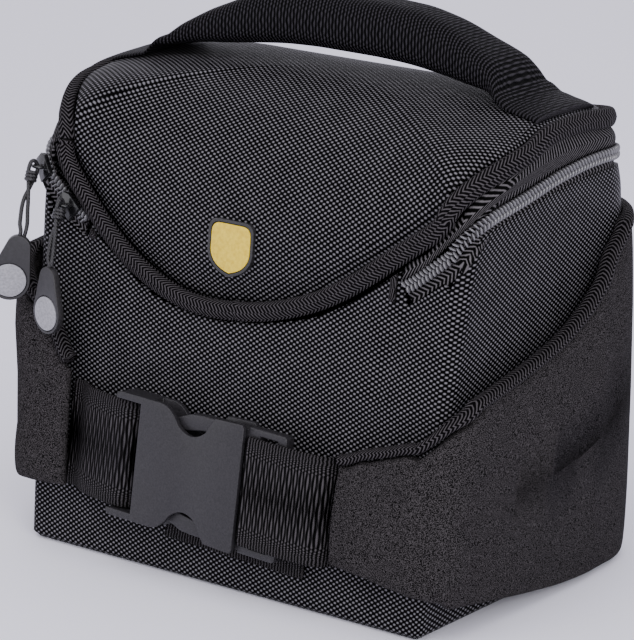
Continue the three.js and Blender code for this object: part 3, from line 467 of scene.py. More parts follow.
def lid_point(along, share, inset=0.0):
    """A point of the lid: spokes leave the crest level and fall to the edge along a superellipse."""
    edge_height = rim_at(along) + lid_tuck
    edge = wall(along, edge_height, -lid_set_in - inset)
    fall = lid_crest - inset - edge_height
    deepest = lid_crest - rim_height * lid_edge[0][1]
    squareness = mix(side_squareness, flap_squareness, fall / deepest)
    turn = share * math.pi / 2
    level = math.sin(turn) ** (2 / squareness)
    rise = max(0.0, math.cos(turn)) ** (2 / squareness)
    return Vector((edge.x * level, mix(crest_setback, edge.y, level), edge_height + fall * rise))


front_profile = [lid_point(0, i / flap_steps) for i in range(flap_steps + 1)]
front_lengths = lengths_along(front_profile)


def lid_run(point):
    """Place on the flat cloth of the lid: sideways, and down the flap from the crest."""
    back = crest_setback - point.y
    fall = (lid_crest - point.z) * smooth(abs(back) / 45)
    if back <= 0:
        return point.x, -math.hypot(back, fall)
    bearing = math.atan2(fall, back)
    i = 1
    while i < flap_steps and math.atan2(
        lid_crest - front_profile[i].z, crest_setback - front_profile[i].y
    ) < bearing:
        i += 1
    reference = math.hypot(crest_setback - front_profile[i].y, lid_crest - front_profile[i].z)
    return point.x, front_lengths[i] * math.hypot(back, fall) / reference


def lid_place(across, up):
    along = mix(-5, 5, across)
    point = lid_point(along, up)
    inner = lid_point(along, up, 1.0)
    off = (point - inner).normalized() if (point - inner).length else Vector((0, 0, 1))
    sewn = -lid_sewn_in * smooth((up - 0.93) / 0.07)
    swell = lid_swell * smooth((up - 0.5) / 0.3) * smooth((0.97 - up) / 0.1)
    return point + off * (sewn + swell)


lid = skin(
    "lid_cover", 300, 70, lid_place,
    lambda across, up: lid_run(lid_point(mix(-5, 5, across), up)), ballistic_nylon,
)
foam = lid.modifiers.new("foam", "SOLIDIFY")
foam.thickness = lid_foam * MM
foam.offset = -1
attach(lid, "root")
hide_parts("lid_panel")

# Edge binding: a herringbone polyester tape folded round the flap's raw edge and sewn through, so
# it is a flat roll with a ridge. A wider tape, laid flat, makes the gusset and the lower zip tape.
binding_thickness = 6
binding_ridge = 0.4
tape_thickness = 1.4
tape_out = -0.4
tape_middle = 6.5


# Herringbone polyester tape: ribs that slant one way on each half of the tape. They are drawn
# 1.9 mm apart on the binding and 2.3 mm apart on the zip's tapes, coarser than real ones, to show.
# The pale ribs are painted highlight and the dark between them painted shade.
def herringbone(name, pitch, tape_half, pale, dark):
    material, shader = new_material(name)
    place = add_node(material, "UVMap", uv_map="cloth")
    parts = add_node(material, "SeparateXYZ", {"Vector": (place, "UV")})
    fold = add_node(material, "Math", {0: (parts, "Y"), 1: tape_half * MM}, operation="PINGPONG")
    slant = add_node(
        material, "Math", {0: (fold, 0), 1: 0.9, 2: (parts, "X")}, operation="MULTIPLY_ADD"
    )
    turned = add_node(
        material, "Math", {0: (slant, 0), 1: 2 * math.pi / (pitch * MM)}, operation="MULTIPLY"
    )
    ribs = add_node(material, "Math", {0: (turned, 0)}, operation="SINE")
    drift = add_node(
        material, "TexNoise",
        {"Vector": (place, "UV"), "Scale": 700.0, "Detail": 2.0, "Roughness": 0.6},
    )
    uneven = add_node(
        material, "MapRange",
        {"Value": (drift, "Fac"), "From Min": 0.3, "From Max": 0.7, "To Min": -0.25, "To Max": 0.25},
    )
    level = add_node(material, "Math", {0: (ribs, 0), 1: (uneven, 0)}, operation="ADD")
    # Painted light: the ramp paints a highlight on each rib and shade between the ribs.
    ramp = add_node(material, "ValToRGB", {"Fac": (level, 0)})
    ramp.color_ramp.elements[0].position = 0.0
    ramp.color_ramp.elements[0].color = linear(dark)
    ramp.color_ramp.elements[1].position = 1.0
    ramp.color_ramp.elements[1].color = linear(pale)
    relief = add_node(
        material, "Bump", {"Height": (level, 0), "Strength": 0.5, "Distance": 0.0003}
    )
    finish(material, shader, roughness=0.7, specular=0.03, colour=ramp, relief=relief)
    return material


binding_tape = herringbone(
    "herringbone_binding_tape", pitch=1.9, tape_half=4.2, pale="#484547", dark="#030203"
)
zip_tape = herringbone(
    "herringbone_zip_tape", pitch=2.3, tape_half=tape_middle, pale="#5c595b", dark="#020202"
)


def roll_frames(places, height_at, out_at, loop=False):
    """Centre, run, off and up at each place of a strip that rides along the wall."""
    centres = [wall(p, height_at(p), out_at(p)) for p in places]
    count = len(centres)
    frames = []
    for i, p in enumerate(places):
        before = centres[(i - 1) % count] if loop else centres[max(i - 1, 0)]
        after = centres[(i + 1) % count] if loop else centres[min(i + 1, count - 1)]
        run = (after - before).normalized()
        off = (wall(p, height_at(p), out_at(p) + 1) - centres[i]).normalized()
        up = off.cross(run).normalized()
        if up.z < 0:
            up = -up
        outward = run.cross(up)
        if outward.dot(off) <= 0:
            outward = up.cross(run)
        frames.append((centres[i], run, outward, up))
    return frames


def squared(turn, sine_power, cosine_power):
    """The sine and cosine of a turn, drawn out from a circle towards a square."""
    sine, cosine = math.sin(turn), math.cos(turn)
    return (
        math.copysign(abs(sine) ** sine_power, sine),
        math.copysign(abs(cosine) ** cosine_power, cosine),
    )


def roll(
    name, places, height_at, out_at, width, thickness_at, material,
    loop=False, sides=20, square=0.7, ridge=0.0,
):
    """A rounded strip along the wall, one ring of points for each place."""
    frames = roll_frames(places, height_at, out_at, loop)
    lengths = lengths_along([centre for centre, _, _, _ in frames])
    spans = len(places) if loop else len(places) - 1
    if loop:
        lengths.append(lengths[-1] + (frames[0][0] - frames[-1][0]).length)

    def place(across, around):
        i = round(across * spans)
        centre, _, off, up = frames[i % len(frames)]
        a, b = squared(around * 2 * math.pi, square, square)
        thick = thickness_at(places[i % len(frames)])
        swell = ridge * wave(a, 0, 0.4) if b > 0 else 0
        return centre + up * (a * width / 2) + off * (b * thick / 2 + swell)

    def run(across, around):
        girth = width + 0.8 * thickness_at(places[0])
        return lengths[round(across * spans)], (around * 2 - 0.5) * girth

    return skin(name, spans, sides, place, run, material, caps=not loop)


def even_places(start, end, count):
    return [mix(start, end, i / (count - 1)) for i in range(count)]


ring_places = even_places(-5, 5, 441)[:-1]
lid_binding = roll(
    "lid_edge_binding", ring_places, rim_at, lambda p: 0.4, binding_width - 0.3,
    lambda p: binding_thickness, binding_tape, loop=True, sides=24, square=0.75,
    ridge=binding_ridge,
)
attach(lid_binding, "root")
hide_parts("lid_binding")


def tape_band(name, places, low, high, material, sag=0.0):
    """Flat tape between two lines of points, with its woven thickness behind it."""
    frames = roll_frames(places, zip_at, lambda p: tape_out)
    lengths = lengths_along([centre for centre, _, _, _ in frames])

    def edges(across):
        i = round(across * (len(places) - 1))
        return i, low(places[i], frames[i]), high(places[i], frames[i])

    def place(across, up):
        i, foot, head = edges(across)
        return foot.lerp(head, up) - frames[i][2] * sag * math.sin(math.pi * up)

    def run(across, up):
        i, foot, head = edges(across)
        return lengths[i], (head - foot).length * (up - 0.5) + tape_middle

    made = skin(name, len(places) - 1, 8, place, run, material)
    body_of_tape = made.modifiers.new("woven_thickness", "SOLIDIFY")
    body_of_tape.thickness = tape_thickness * MM
    body_of_tape.offset = -1
    return made


def zip_top(p):
    return zip_at(p) + half_up_wall(zip_at, p, coil_width) + clearance


zip_places = even_places(-zip_start, -5, 180) + even_places(5, zip_start, 180)[1:]
gusset_places = [p for p in zip_places if flap_foot(p) - zip_top(p) > 1]
gusset = tape_band(
    "zip_gusset_tape", gusset_places,
    lambda p, here: here[0] + here[3] * (coil_width / 2 - 0.4),
    lambda p, here: wall(p, flap_foot(p) + 1.5, tape_out), zip_tape, sag=-1.6,
)
lower_tape = tape_band(
    "zip_lower_tape", zip_places,
    lambda p, here: here[0] - here[3] * (coil_width / 2 + lower_tape_width + 0.5) - here[2] * 0.2,
    lambda p, here: here[0] - here[3] * (coil_width / 2 - 0.6) - here[2] * 0.2, zip_tape,
)
for piece, node in ((gusset, "zip_gusset"), (lower_tape, "zip_tape_lower")):
    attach(piece, "root")
    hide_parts(node)

# Zip: a nylon monofilament coil, closed all the way, sewn between the two tapes. Each turn of the
# coil is a small glossy loop, and the loops of the two sides mesh along the middle, over a core.
coil_pitch = 2.1
coil_loop_length = 3.7
coil_loop_width = 1.12
coil_loop_depth = 2.6
coil_half_gauge = 1.25
coil_lean = 0.32


def glossy(name, colour, roughness, specular, grain, detail, strength, depth):
    """A smooth glossy surface of one colour, with a very fine unevenness."""
    material, shader = new_material(name)
    shader.inputs["Base Color"].default_value = linear(colour)
    place = add_node(material, "TexCoord")
    drift = add_node(
        material, "TexNoise", {"Vector": (place, "Object"), "Scale": grain, "Detail": detail}
    )
    relief = add_node(
        material, "Bump", {"Height": (drift, "Fac"), "Strength": strength, "Distance": depth}
    )
    finish(material, shader, roughness, specular, relief=relief)
    return material, shader


# The mid grey is painted highlight: the coil's black nylon is painted pale for the glints on its
# loops.
monofilament, _ = glossy(
    "nylon_monofilament", "#5c5b5e", roughness=0.2, specular=0.8, grain=900.0, detail=1.0,
    strength=0.15, depth=0.0002,
)
coil_core = roll(
    "zip_coil_core", zip_places, zip_at, lambda p: -0.5, coil_width - 1.2, lambda p: 1.8,
    binding_tape, sides=10,
)
frames = roll_frames(zip_places, zip_at, lambda p: 0.7)
coil_bm = bmesh.new()
travelled = 0.0
wanted = 1.5
side = 1
for (near, run, off, up), (far, _, _, _) in zip(frames, frames[1:]):
    step = (far - near).length
    while wanted <= travelled + step:
        centre = near.lerp(far, (wanted - travelled) / step)
        lean = (run * coil_lean * side + up).normalized()
        third = lean.cross(off).normalized()
        turned = Matrix((third, lean, off)).transposed().to_4x4()
        turned.translation = (centre + up * side * coil_half_gauge) * MM
        size = Matrix.Diagonal((
            coil_loop_width / 2 * MM, coil_loop_length / 2 * MM, coil_loop_depth / 2 * MM, 1
        ))
        bmesh.ops.create_uvsphere(
            coil_bm, u_segments=8, v_segments=6, radius=1, matrix=turned @ size
        )
        side = -side
        wanted += coil_pitch / 2
    travelled += step
coil = link_object("zip_coil_turns", coil_bm, monofilament)
for piece in (coil_core, coil):
    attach(piece, "root")
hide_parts("zip_coil")

# Zip ends: a short piece of the binding's polyester tape, folded and sewn down over each front end
# of the zip, so that the sliders can't run off the coil.
stop_length = 12
stop_thickness = 2.4
stop_girth = 24
for name, sign in (("right", 1), ("left", -1)):
    start = zip_start - stop_length / base_width
    end = zip_start - coil_width / base_width
    middle = zip_at(zip_start)

    def stop_place(across, around, sign=sign, start=start, end=end, middle=middle):
        along = sign * mix(start, end, across)
        top = min(middle + coil_width, flap_foot(along))
        a, b = squared(around * 2 * math.pi, 0.35, 0.6)
        out = clearance + stop_thickness / 2 * (1 + b * math.sin(math.pi * mix(0.2, 0.8, across)))
        return wall(along, mix(middle - coil_width, top, (a + 1) / 2), out)

    stop = skin(
        "zip_end_" + name, 10, 20, stop_place,
        lambda across, around: (across * stop_length / 2, around * stop_girth), binding_tape,
        caps=True,
    )
    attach(stop, "root")
    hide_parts("zip_stop_" + name)

# Sliders: die-cast zinc under black enamel, each with a bowed wire eye that a cord is tied through.
# The CAD sliders have the right shape; their edges are broken here as a casting's are.
enamel, shader = glossy(
    "black_enamel_on_zinc", "#0d0d0e", roughness=0.22, specular=0.5, grain=1200.0, detail=2.0,
    strength=0.12, depth=0.0001,
)
shader.inputs["Coat Weight"].default_value = 0.2
shader.inputs["Coat Roughness"].default_value = 0.15


def eased_copy(name, node, width, material):
    """A merged copy of a CAD node, rounded where its faces turn by more than 35 degrees."""
    bm = bmesh.new()
    bm.from_mesh(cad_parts[node].data)
    bmesh.ops.remove_doubles(bm, verts=bm.verts[:], dist=2e-6)
    bmesh.ops.dissolve_limit(bm, angle_limit=math.radians(3), verts=bm.verts[:], edges=bm.edges[:])
    sharp = [
        e for e in bm.edges
        if len(e.link_faces) == 2 and e.calc_face_angle(0) > math.radians(35)
    ]
    bmesh.ops.bevel(
        bm, geom=sharp, offset=width * MM, offset_type="OFFSET", segments=3, profile=0.5,
        affect="EDGES", material=-1, clamp_overlap=True,
    )
    bmesh.ops.triangulate(bm, faces=[f for f in bm.faces if len(f.verts) > 4])
    made = link_object(name, bm, material)
    made.data.set_sharp_from_angle(angle=math.radians(40))
    return made


for name in ("upper", "lower"):
    slider = eased_copy("slider_casting_" + name, "slider_" + name, 0.25, enamel)
    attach(slider, "root")
    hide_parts("slider_" + name)

# Handle: 41 mm webbing, sewn flat to each end of the lid and folded round a soft filling in the
# middle, so that it becomes a roll with its closing seam along the front.
handle_web_width = 41
handle_web_thickness = 2.4
handle_reach = 111
handle_rise = 18
grip_height = 24
grip_depth = 23
handle_setback = 13.3
handle_twist = 2.8
handle_tilt = 1.6
grip_shift = 7
handle_girth = 86
lap_ridge = 0.9
sewn_from = 0.79
handle_steps = 60
# (reach, shift to the right, rise, how flat the webbing is)
handle_stations = [
    (0.1, 1, 0.975, 0), (0.26, 1, 0.94, 0), (0.42, 1, 0.8, 0.07), (0.57, 1, 0.56, 0.28),
    (0.67, 1, 0.39, 0.47), (0.735, 0.7, 0.2, 0.65), (0.79, 0.35, 0, 0.9), (0.86, 0.15, 0.03, 1),
    (0.93, 0.05, 0, 1), (1, 0, 0, 1),
]
lay_gap = 1.5 * clearance + handle_web_thickness / 2


def lid_height(x, y):
    """Height of the lid above a point of the plan."""
    bearing = math.atan2(abs(x), crest_setback - y)
    low, high = 0.0, 5.0
    for _ in range(18):
        middle = (low + high) / 2
        edge = lid_point(-middle if x < 0 else middle, 1)
        if math.atan2(abs(edge.x), crest_setback - edge.y) < bearing:
            low = middle
        else:
            high = middle
    place = -low if x < 0 else low
    near, far = 0.0, 1.0
    for _ in range(18):
        middle = (near + far) / 2
        point = lid_point(place, middle)
        if math.hypot(point.x, point.y - crest_setback) < math.hypot(x, y - crest_setback):
            near = middle
        else:
            far = middle
    return lid_point(place, near).z


def handle_place(across, around):
    share = mix(-1, 1, across)
    reach = max(0.1, abs(share))
    shift = read_smooth(handle_stations, reach, 1)
    rise = read_smooth(handle_stations, reach, 2)
    web = min(1, max(0, read_smooth(handle_stations, reach, 3)))
    depth = mix(grip_depth, handle_web_width, web)
    tall = mix(grip_height, handle_web_thickness, web)
    b, a = squared(around * 2 * math.pi, 0.55, 0.55)
    x = share * handle_reach + shift * grip_shift
    lap = lap_ridge * (1 - web) * smooth((around - 0.47) / 0.01) * smooth((0.6 - around) / 0.01)
    y = handle_setback + share * handle_twist + a * depth / 2 - lap
    laid = smooth((reach - sewn_from) / 0.07)
    free_seat = lid_crest - share * handle_tilt
    seat = mix(free_seat, lid_height(x, y), laid) if laid else free_seat
    return Vector((x, y, seat + lay_gap + rise * handle_rise + b * tall / 2))


# Ribbed polypropylene webbing: the ribs lie across its length, 1.7 mm apart on the handle and 1.5 mm
# apart on the belt, and are broken into short grains whose highlights are painted into the colour,
# with painted shade between them.
def webbing(name, rib, grain, pale, uneven):
    material, shader = new_material(name)
    place = add_node(material, "UVMap", uv_map="cloth")
    parts = add_node(material, "SeparateXYZ", {"Vector": (place, "UV")})
    wander = add_node(material, "TexNoise", {"Vector": (place, "UV"), "Scale": 260.0, "Detail": 1.0})
    bend = add_node(
        material, "Math", {0: (wander, "Fac"), 1: 0.0009, 2: (parts, "X")}, operation="MULTIPLY_ADD"
    )
    turned = add_node(
        material, "Math", {0: (bend, 0), 1: 2 * math.pi / (rib * MM)}, operation="MULTIPLY"
    )
    ribs = add_node(material, "Math", {0: (turned, 0)}, operation="SINE")
    half = add_node(material, "Math", {0: (turned, 0), 1: 0.5}, operation="MULTIPLY")
    flip = add_node(material, "Math", {0: (half, 0)}, operation="SINE")
    sign = add_node(material, "Math", {0: (flip, 0)}, operation="SIGN")
    along = add_node(
        material, "Math", {0: (parts, "Y"), 1: 2 * math.pi / (grain * MM)}, operation="MULTIPLY"
    )
    shifted = add_node(
        material, "Math", {0: (sign, 0), 1: math.pi / 2, 2: (along, 0)}, operation="MULTIPLY_ADD"
    )
    grains = add_node(material, "Math", {0: (shifted, 0)}, operation="SINE")
    broken = add_node(
        material, "Math", {0: (grains, 0), 1: uneven, 2: (ribs, 0)}, operation="MULTIPLY_ADD"
    )
    # Painted light: pale grains are painted highlight, near black between them painted shade.
    ramp = add_node(material, "ValToRGB", {"Fac": (broken, 0)})
    ramp.color_ramp.elements[0].position = 0.0
    ramp.color_ramp.elements[0].color = linear("#010101")
    ramp.color_ramp.elements[1].position = 1.0
    ramp.color_ramp.elements[1].color = linear(pale)
    relief = add_node(
        material, "Bump", {"Height": (broken, 0), "Strength": 0.5, "Distance": 0.0004}
    )
    finish(material, shader, roughness=0.5, specular=0.03, colour=ramp, relief=relief)
    return material


handle_lengths = lengths_along([
    (handle_place(i / handle_steps, 0.25) + handle_place(i / handle_steps, 0.75)) / 2
    for i in range(handle_steps + 1)
])


def handle_length(across):
    i = min(int(across * handle_steps), handle_steps - 1)
    return mix(handle_lengths[i], handle_lengths[i + 1], across * handle_steps - i)


# The handle's ribs are painted darker than the belt's: painted shade for the shade on the handle.
handle_webbing = webbing("ribbed_handle_webbing", rib=1.7, grain=2.4, pale="#302e32", uneven=0.45)
handle = skin(
    "handle_roll", 220, 40, handle_place,
    lambda across, around: (handle_length(across), around * handle_girth), handle_webbing,
    caps=True,
)
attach(handle, "root")
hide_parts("handle")

# Belt wings: foam pads covered in a fine brushed knit that wrap the sides, with the herringbone
# tape round the upper edge. The pad swells between its edges, and the belt draws it in.
wing_thickness = 6.5
wing_bulge = 2.2
wing_bite = 4.5
wing_cloth = 300
wing_binding_height = 4.2
wing_binding_thickness = 7.6
belt_middle = 48.5
belt_height = 50
# (along, low, high, standoff, flare, how far the belt draws it in, thickness)
right_wing = [
    (0.63, 0.131, 0.352, 0.8, 0, 0.2, 1), (0.75, 0.127, 0.374, 0.8, 0, 0.48, 1),
    (0.86, 0.12, 0.391, 0.8, 0.05, 0.47, 1), (0.95, 0.114, 0.407, 0.8, 0.1, 0.46, 1),
    (1.1, 0.109, 0.421, 0.75, 0.1, 0.43, 1), (1.3, 0.105, 0.441, 0.7, 0.1, 0.41, 1),
    (1.5, 0.1, 0.46, 0.7, 0.1, 0.38, 1), (1.85, 0.09, 0.482, 0.8, 0.1, 0.32, 1),
    (2, 0.076, 0.496, 0.85, 0.1, 0.3, 1), (2.25, 0.052, 0.524, 0.9, 0.1, 0.3, 1),
    (2.5, 0.03, 0.562, 1, 0.1, 0.3, 1), (2.68, 0.017, 0.604, 1, 0, 0.3, 1),
    (2.8, 0.013, 0.65, 1, -0.05, 0.3, 1), (2.92, 0.011, 0.71, 0.9, -0.35, 0.3, 0.9),
    (3.1, 0.011, 0.755, 0.85, -0.6, 0.27, 0.75), (3.35, 0.011, 0.765, 0.8, -0.7, 0.18, 0.65),
    (3.6, 0.011, 0.765, 0.5, -0.4, 0.1, 0.65), (3.8, 0.014, 0.765, 0.3, -0.1, 0.05, 0.65),
    (4.02, 0.02, 0.76, 0.08, 0.04, 0, 0.65),
]
left_wing = [
    (0.78, 0.15, 0.425, 0.8, 0, 0.2, 1), (0.86, 0.148, 0.48, 0.8, 0, 0.54, 1),
    (0.93, 0.146, 0.525, 0.8, 0, 0.57, 1), (1, 0.144, 0.552, 0.65, 0.1, 0.6, 1),
    (1.25, 0.141, 0.58, 0.5, 0.2, 0.62, 1), (1.5, 0.138, 0.6, 0.45, 0.2, 0.61, 1),
    (1.75, 0.132, 0.61, 0.5, 0.15, 0.6, 1), (2, 0.124, 0.622, 0.65, 0, 0.54, 1),
    (2.25, 0.1, 0.635, 0.85, -0.1, 0.49, 1), (2.5, 0.07, 0.65, 1, -0.1, 0.43, 1),
    (2.75, 0.04, 0.68, 1, 0, 0.36, 1), (2.92, 0.026, 0.715, 0.9, -0.35, 0.32, 0.9),
    (3.1, 0.018, 0.75, 0.85, -0.6, 0.27, 0.75), (3.35, 0.014, 0.765, 0.8, -0.7, 0.18, 0.65),
    (3.6, 0.012, 0.765, 0.5, -0.4, 0.1, 0.65), (3.8, 0.014, 0.765, 0.3, -0.1, 0.05, 0.65),
    (4.02, 0.02, 0.76, 0.08, 0.04, 0, 0.65),
]

# Brushed polyester knit over foam: dull loops under half a millimetre, with no grain direction.
brushed_knit, shader = new_material("brushed_knit_on_foam")
place = add_node(brushed_knit, "TexCoord")
loops = add_node(
    brushed_knit, "TexNoise",
    {"Vector": (place, "Object"), "Scale": 2600.0, "Detail": 1.0, "Roughness": 0.6},
)
ramp = add_node(brushed_knit, "ValToRGB", {"Fac": (loops, "Fac")})
ramp.color_ramp.elements[0].position = 0.45
ramp.color_ramp.elements[0].color = linear("#020202")
ramp.color_ramp.elements[1].position = 0.57
ramp.color_ramp.elements[1].color = linear("#403d3e")
relief = add_node(
    brushed_knit, "Bump", {"Height": (loops, "Fac"), "Strength": 0.5, "Distance": 0.0004}
)
finish(brushed_knit, shader, roughness=0.95, specular=0.03, colour=ramp, relief=relief)


def wing_pieces(name, side, table, bite_share):
    """One pad and its edge binding; side is 1 on the right and -1 on the left."""
    first, last = table[0][0], table[-1][0]

    @lru_cache(maxsize=None)
    def high_at(p):
        return rim_height * read_smooth(table, abs(p), 2)

    def wing_place(across, around):
        place = mix(first, last, across)
        low = rim_height * read_smooth(table, place, 1)
        binding = half_up_wall(high_at, place, wing_binding_height, wing_thickness)
        high = high_at(place) - binding - clearance
        standoff, flare, draw, thick = (read_smooth(table, place, column) for column in (3, 4, 5, 6))
        free = min(1, standoff) * thick
        a, b = squared(around * 2 * math.pi, 0.28, 0.45)
        share = (a + 1) / 2
        height = mix(low, high, share)
        swell = wing_bulge * math.sin(math.pi * share)
        pressed = wave(height, belt_middle + belt_height / 4, belt_height / 3)
        bite = bite_share * wing_bite * draw * pressed
        off = (standoff + flare * share) * wing_thickness + free * swell - bite
        end = smooth(across / 0.03) * 0.5 + 0.5
        return wall(side * place, height, off + thick * wing_thickness * (0.5 + 0.5 * b * end))

    wing = skin(
        "belt_wing_" + name, 200, 80, wing_place,
        lambda across, around: (across * wing_cloth, around * wing_cloth), brushed_knit, caps=True,
    )
    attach(wing, "root")
    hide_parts("wing_" + name)

    def out_at(p):
        standoff, flare, thick = (read_smooth(table, abs(p), column) for column in (3, 4, 6))
        return (standoff + flare + thick / 2) * wing_thickness

    places = [side * p for p in even_places(first, last, 240)]
    edge = roll(
        "belt_wing_binding_" + name, places, high_at, out_at, wing_binding_height,
        lambda p: min(wing_binding_thickness, 2 * out_at(p) - clearance), binding_tape,
    )
    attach(edge, "root")
    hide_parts("wing_binding_" + name)


wing_pieces("right", 1, right_wing, bite_share=0.5)
wing_pieces("left", -1, left_wing, bite_share=1.0)

# Buckle: a 50 mm side-release buckle moulded in acetal with a fine spark-eroded texture. Its two
# halves are fastened here and have rounded edges. The plate on the back is moulded the same way.


def moulded(
    name, grit, dark, pale, roughness, specular=0.5, dark_until=0.3, wander=0.5, relief=0.0
):
    """A moulded plastic or rubber, its colour broken by the fine grit of its mould."""
    material, shader = new_material(name)
    place = add_node(material, "TexCoord")
    grain = add_node(
        material, "TexNoise",
        {"Vector": (place, "Object"), "Scale": grit, "Detail": 2.0, "Roughness": wander},
    )
    ramp = add_node(material, "ValToRGB", {"Fac": (grain, "Fac")})
    ramp.color_ramp.elements[0].position = dark_until
    ramp.color_ramp.elements[0].color = linear(dark)
    ramp.color_ramp.elements[1].position = 0.7
    ramp.color_ramp.elements[1].color = linear(pale)
    bump = relief and add_node(
        material, "Bump", {"Height": (grain, "Fac"), "Strength": relief, "Distance": 0.0002}
    )
    finish(material, shader, roughness, specular, ramp, bump)
    return material


acetal = moulded(
    "moulded_acetal", grit=1300.0, dark="#1a191b", pale="#29272a", roughness=0.42, specular=0.35,
    dark_until=0.35, wander=0.6, relief=0.18,
)
for node in ("buckle_socket", "buckle_plug"):
    moulding = eased_copy(node + "_moulding", node, 0.8, acetal)
    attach(moulding, "root")
    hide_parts(node)

mount = eased_copy("mount_plate_moulding", "mount_plate", 1.2, acetal)
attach(mount, "root")
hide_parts("mount_plate")

# Belt webbing: 50 mm polypropylene webbing from each wing to the bar of its half of the buckle. The
# free end lies behind the buckle, hangs a little lower and is cut off at a slant.
buckle_length = 90
buckle_height = 54
buckle_shift = -5.5
buckle_thickness = 11
buckle_standoff = 4
buckle_plate = 2.4
plug_thickness = buckle_thickness - 2 * buckle_plate - 2 * clearance
bar_width = 4.6
slot_width = 9
rail_height = 3
web_thickness = 2
belt_tilt = -2.2
slot_half = buckle_height / 2 - rail_height
web_half = min(belt_height / 2, slot_half - clearance) - clearance
buckle_front = buckle_standoff + buckle_thickness
plug_middle = buckle_standoff + buckle_thickness / 2
socket_left = -buckle_length / 2
slot_left = socket_left + bar_width
plug_right = buckle_length / 2
plug_slot_right = plug_right - bar_width
plug_neck = plug_slot_right - slot_width - 7
bar_sunk = 2.2
over_bar = buckle_front - web_thickness - bar_sunk + clearance + web_thickness / 2
over_plug_bar = plug_middle + plug_thickness / 2 + clearance + web_thickness / 2
under_wing = clearance + web_thickness / 2
left_start = -wall(left_wing[0][0], belt_middle).x - buckle_shift
right_start = wall(right_wing[0][0], belt_middle).x - buckle_shift
web_girth = 2 * (belt_height + web_thickness)
strap_steps = 120

belt_seat = wall(0, belt_middle)
belt_turn = (
    Matrix.Translation((buckle_shift, belt_seat.y, belt_seat.z))
    @ Matrix.Rotation(math.pi / 2 - math.atan(front_lean), 4, "X")
    @ Matrix.Rotation(math.radians(belt_tilt), 4, "Z")
)
belt_webbing = webbing("ribbed_belt_webbing", rib=1.5, grain=1.3, pale="#464345", uneven=0.65)


def path_point(path, share):
    """A point of a smooth line through (across, off the wall) points."""
    spans = len(path) - 1
    i = min(int(share * spans), spans - 1)
    t = share * spans - i
    a, b, c, d = path[max(i - 1, 0)], path[i], path[i + 1], path[min(i + 2, spans)]
    return [
        0.5 * (2 * b[k] + (c[k] - a[k]) * t + (2 * a[k] - 5 * b[k] + 4 * c[k] - d[k]) * t * t
               + (3 * b[k] - a[k] - 3 * c[k] + d[k]) * t ** 3)
        for k in (0, 1)
    ]


def strap(name, path, half, node):
    """Webbing along a path, with rounded edges, laid in the belt's tilted frame."""
    lengths = [0.0]
    points = [path_point(path, i / strap_steps) for i in range(strap_steps + 1)]
    for near, far in zip(points, points[1:]):
        lengths.append(lengths[-1] + math.dist(near, far))

    def place(across, around):
        i = round(across * strap_steps)
        here = points[i]
        before, after = points[max(i - 1, 0)], points[min(i + 1, strap_steps)]
        size = math.dist(before, after)
        normal = (-(after[1] - before[1]) / size, (after[0] - before[0]) / size)
        a, b = squared(around * 2 * math.pi, 0.2, 0.5)
        off = b * web_thickness / 2
        return belt_turn @ Vector((here[0] + normal[0] * off, a * half, here[1] + normal[1] * off))

    made = skin(
        name, strap_steps, 60, place,
        lambda across, around: (lengths[round(across * strap_steps)], around * web_girth),
        belt_webbing, caps=True,
    )
    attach(made, "root")
    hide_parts(node)


strap(
    "belt_strap_left",
    [
        (left_start - 3, under_wing + 1), (left_start + 3, under_wing + 1.6),
        (left_start + 12, over_bar * 0.7), (socket_left - 6, over_bar - 0.6),
        (socket_left - 1, over_bar), (slot_left, over_bar), (slot_left + 3.6, over_bar - 3),
        (slot_left + 4, buckle_standoff + 1),
    ],
    web_half, "strap_left",
)
strap(
    "belt_strap_right",
    [
        (plug_neck + 2.2, over_plug_bar - 0.3), (plug_neck + 3.2, over_plug_bar),
        (plug_slot_right, over_plug_bar), (plug_right + 1, over_plug_bar),
        (plug_right + 6, over_plug_bar - 0.4), (right_start - 7, over_plug_bar * 0.8),
        (right_start - 3, under_wing + 2.4), (right_start + 1, under_wing + 1.2),
        (right_start + 9, under_wing + 1),
    ],
    web_half, "strap_right",
)

tail_drop = 0.16 * belt_height
tail_end = -0.24 * buckle_length
tail_out = clearance + web_thickness / 2
tail_slant = 0.14 * belt_height
tail_start = plug_right + 8
tail_length = 75


def tail_place(across, around):
    a, b = squared(around * 2 * math.pi, 0.2, 0.5)
    x = mix(tail_end + tail_slant * (a + 1) / 2, tail_start, across)
    off = tail_out + clearance + b * web_thickness / 2
    return belt_turn @ Vector((x, a * belt_height / 2 - tail_drop, off))


tail = skin(
    "belt_strap_tail", 60, 40, tail_place,
    lambda across, around: (across * tail_length, around * web_girth),
    belt_webbing, caps=True,
)
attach(tail, "root")
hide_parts("strap_tail")

# Zip pulls: a braided nylon cord, doubled through each slider's eye and wound with a small knot,
# with a moulded rubber tab at its lower end and a plain grey disc set into the tab.
braid, shader = new_material("braided_nylon_cord")
place = add_node(braid, "TexCoord")
strands = add_node(
    braid, "TexWave", {"Vector": (place, "Object"), "Scale": 420.0, "Distortion": 1.0},
    bands_direction="DIAGONAL",
)
# Painted light: the ramp paints sheen on the braid's strands and shade between them.
ramp = add_node(braid, "ValToRGB", {"Fac": (strands, "Fac")})
ramp.color_ramp.elements[0].color = linear("#050505")
ramp.color_ramp.elements[1].color = linear("#29272a")
relief = add_node(braid, "Bump", {"Height": (strands, "Fac"), "Strength": 0.5, "Distance": 0.0003})
finish(braid, shader, roughness=0.4, colour=ramp, relief=relief)

soft_rubber = moulded(
    "moulded_soft_rubber", grit=900.0, dark="#161516", pale="#232123", roughness=0.45, relief=0.2
)
grey_disc = moulded(
    "satin_grey_plastic", grit=1100.0, dark="#7d7c81", pale="#96959a", roughness=0.5
)

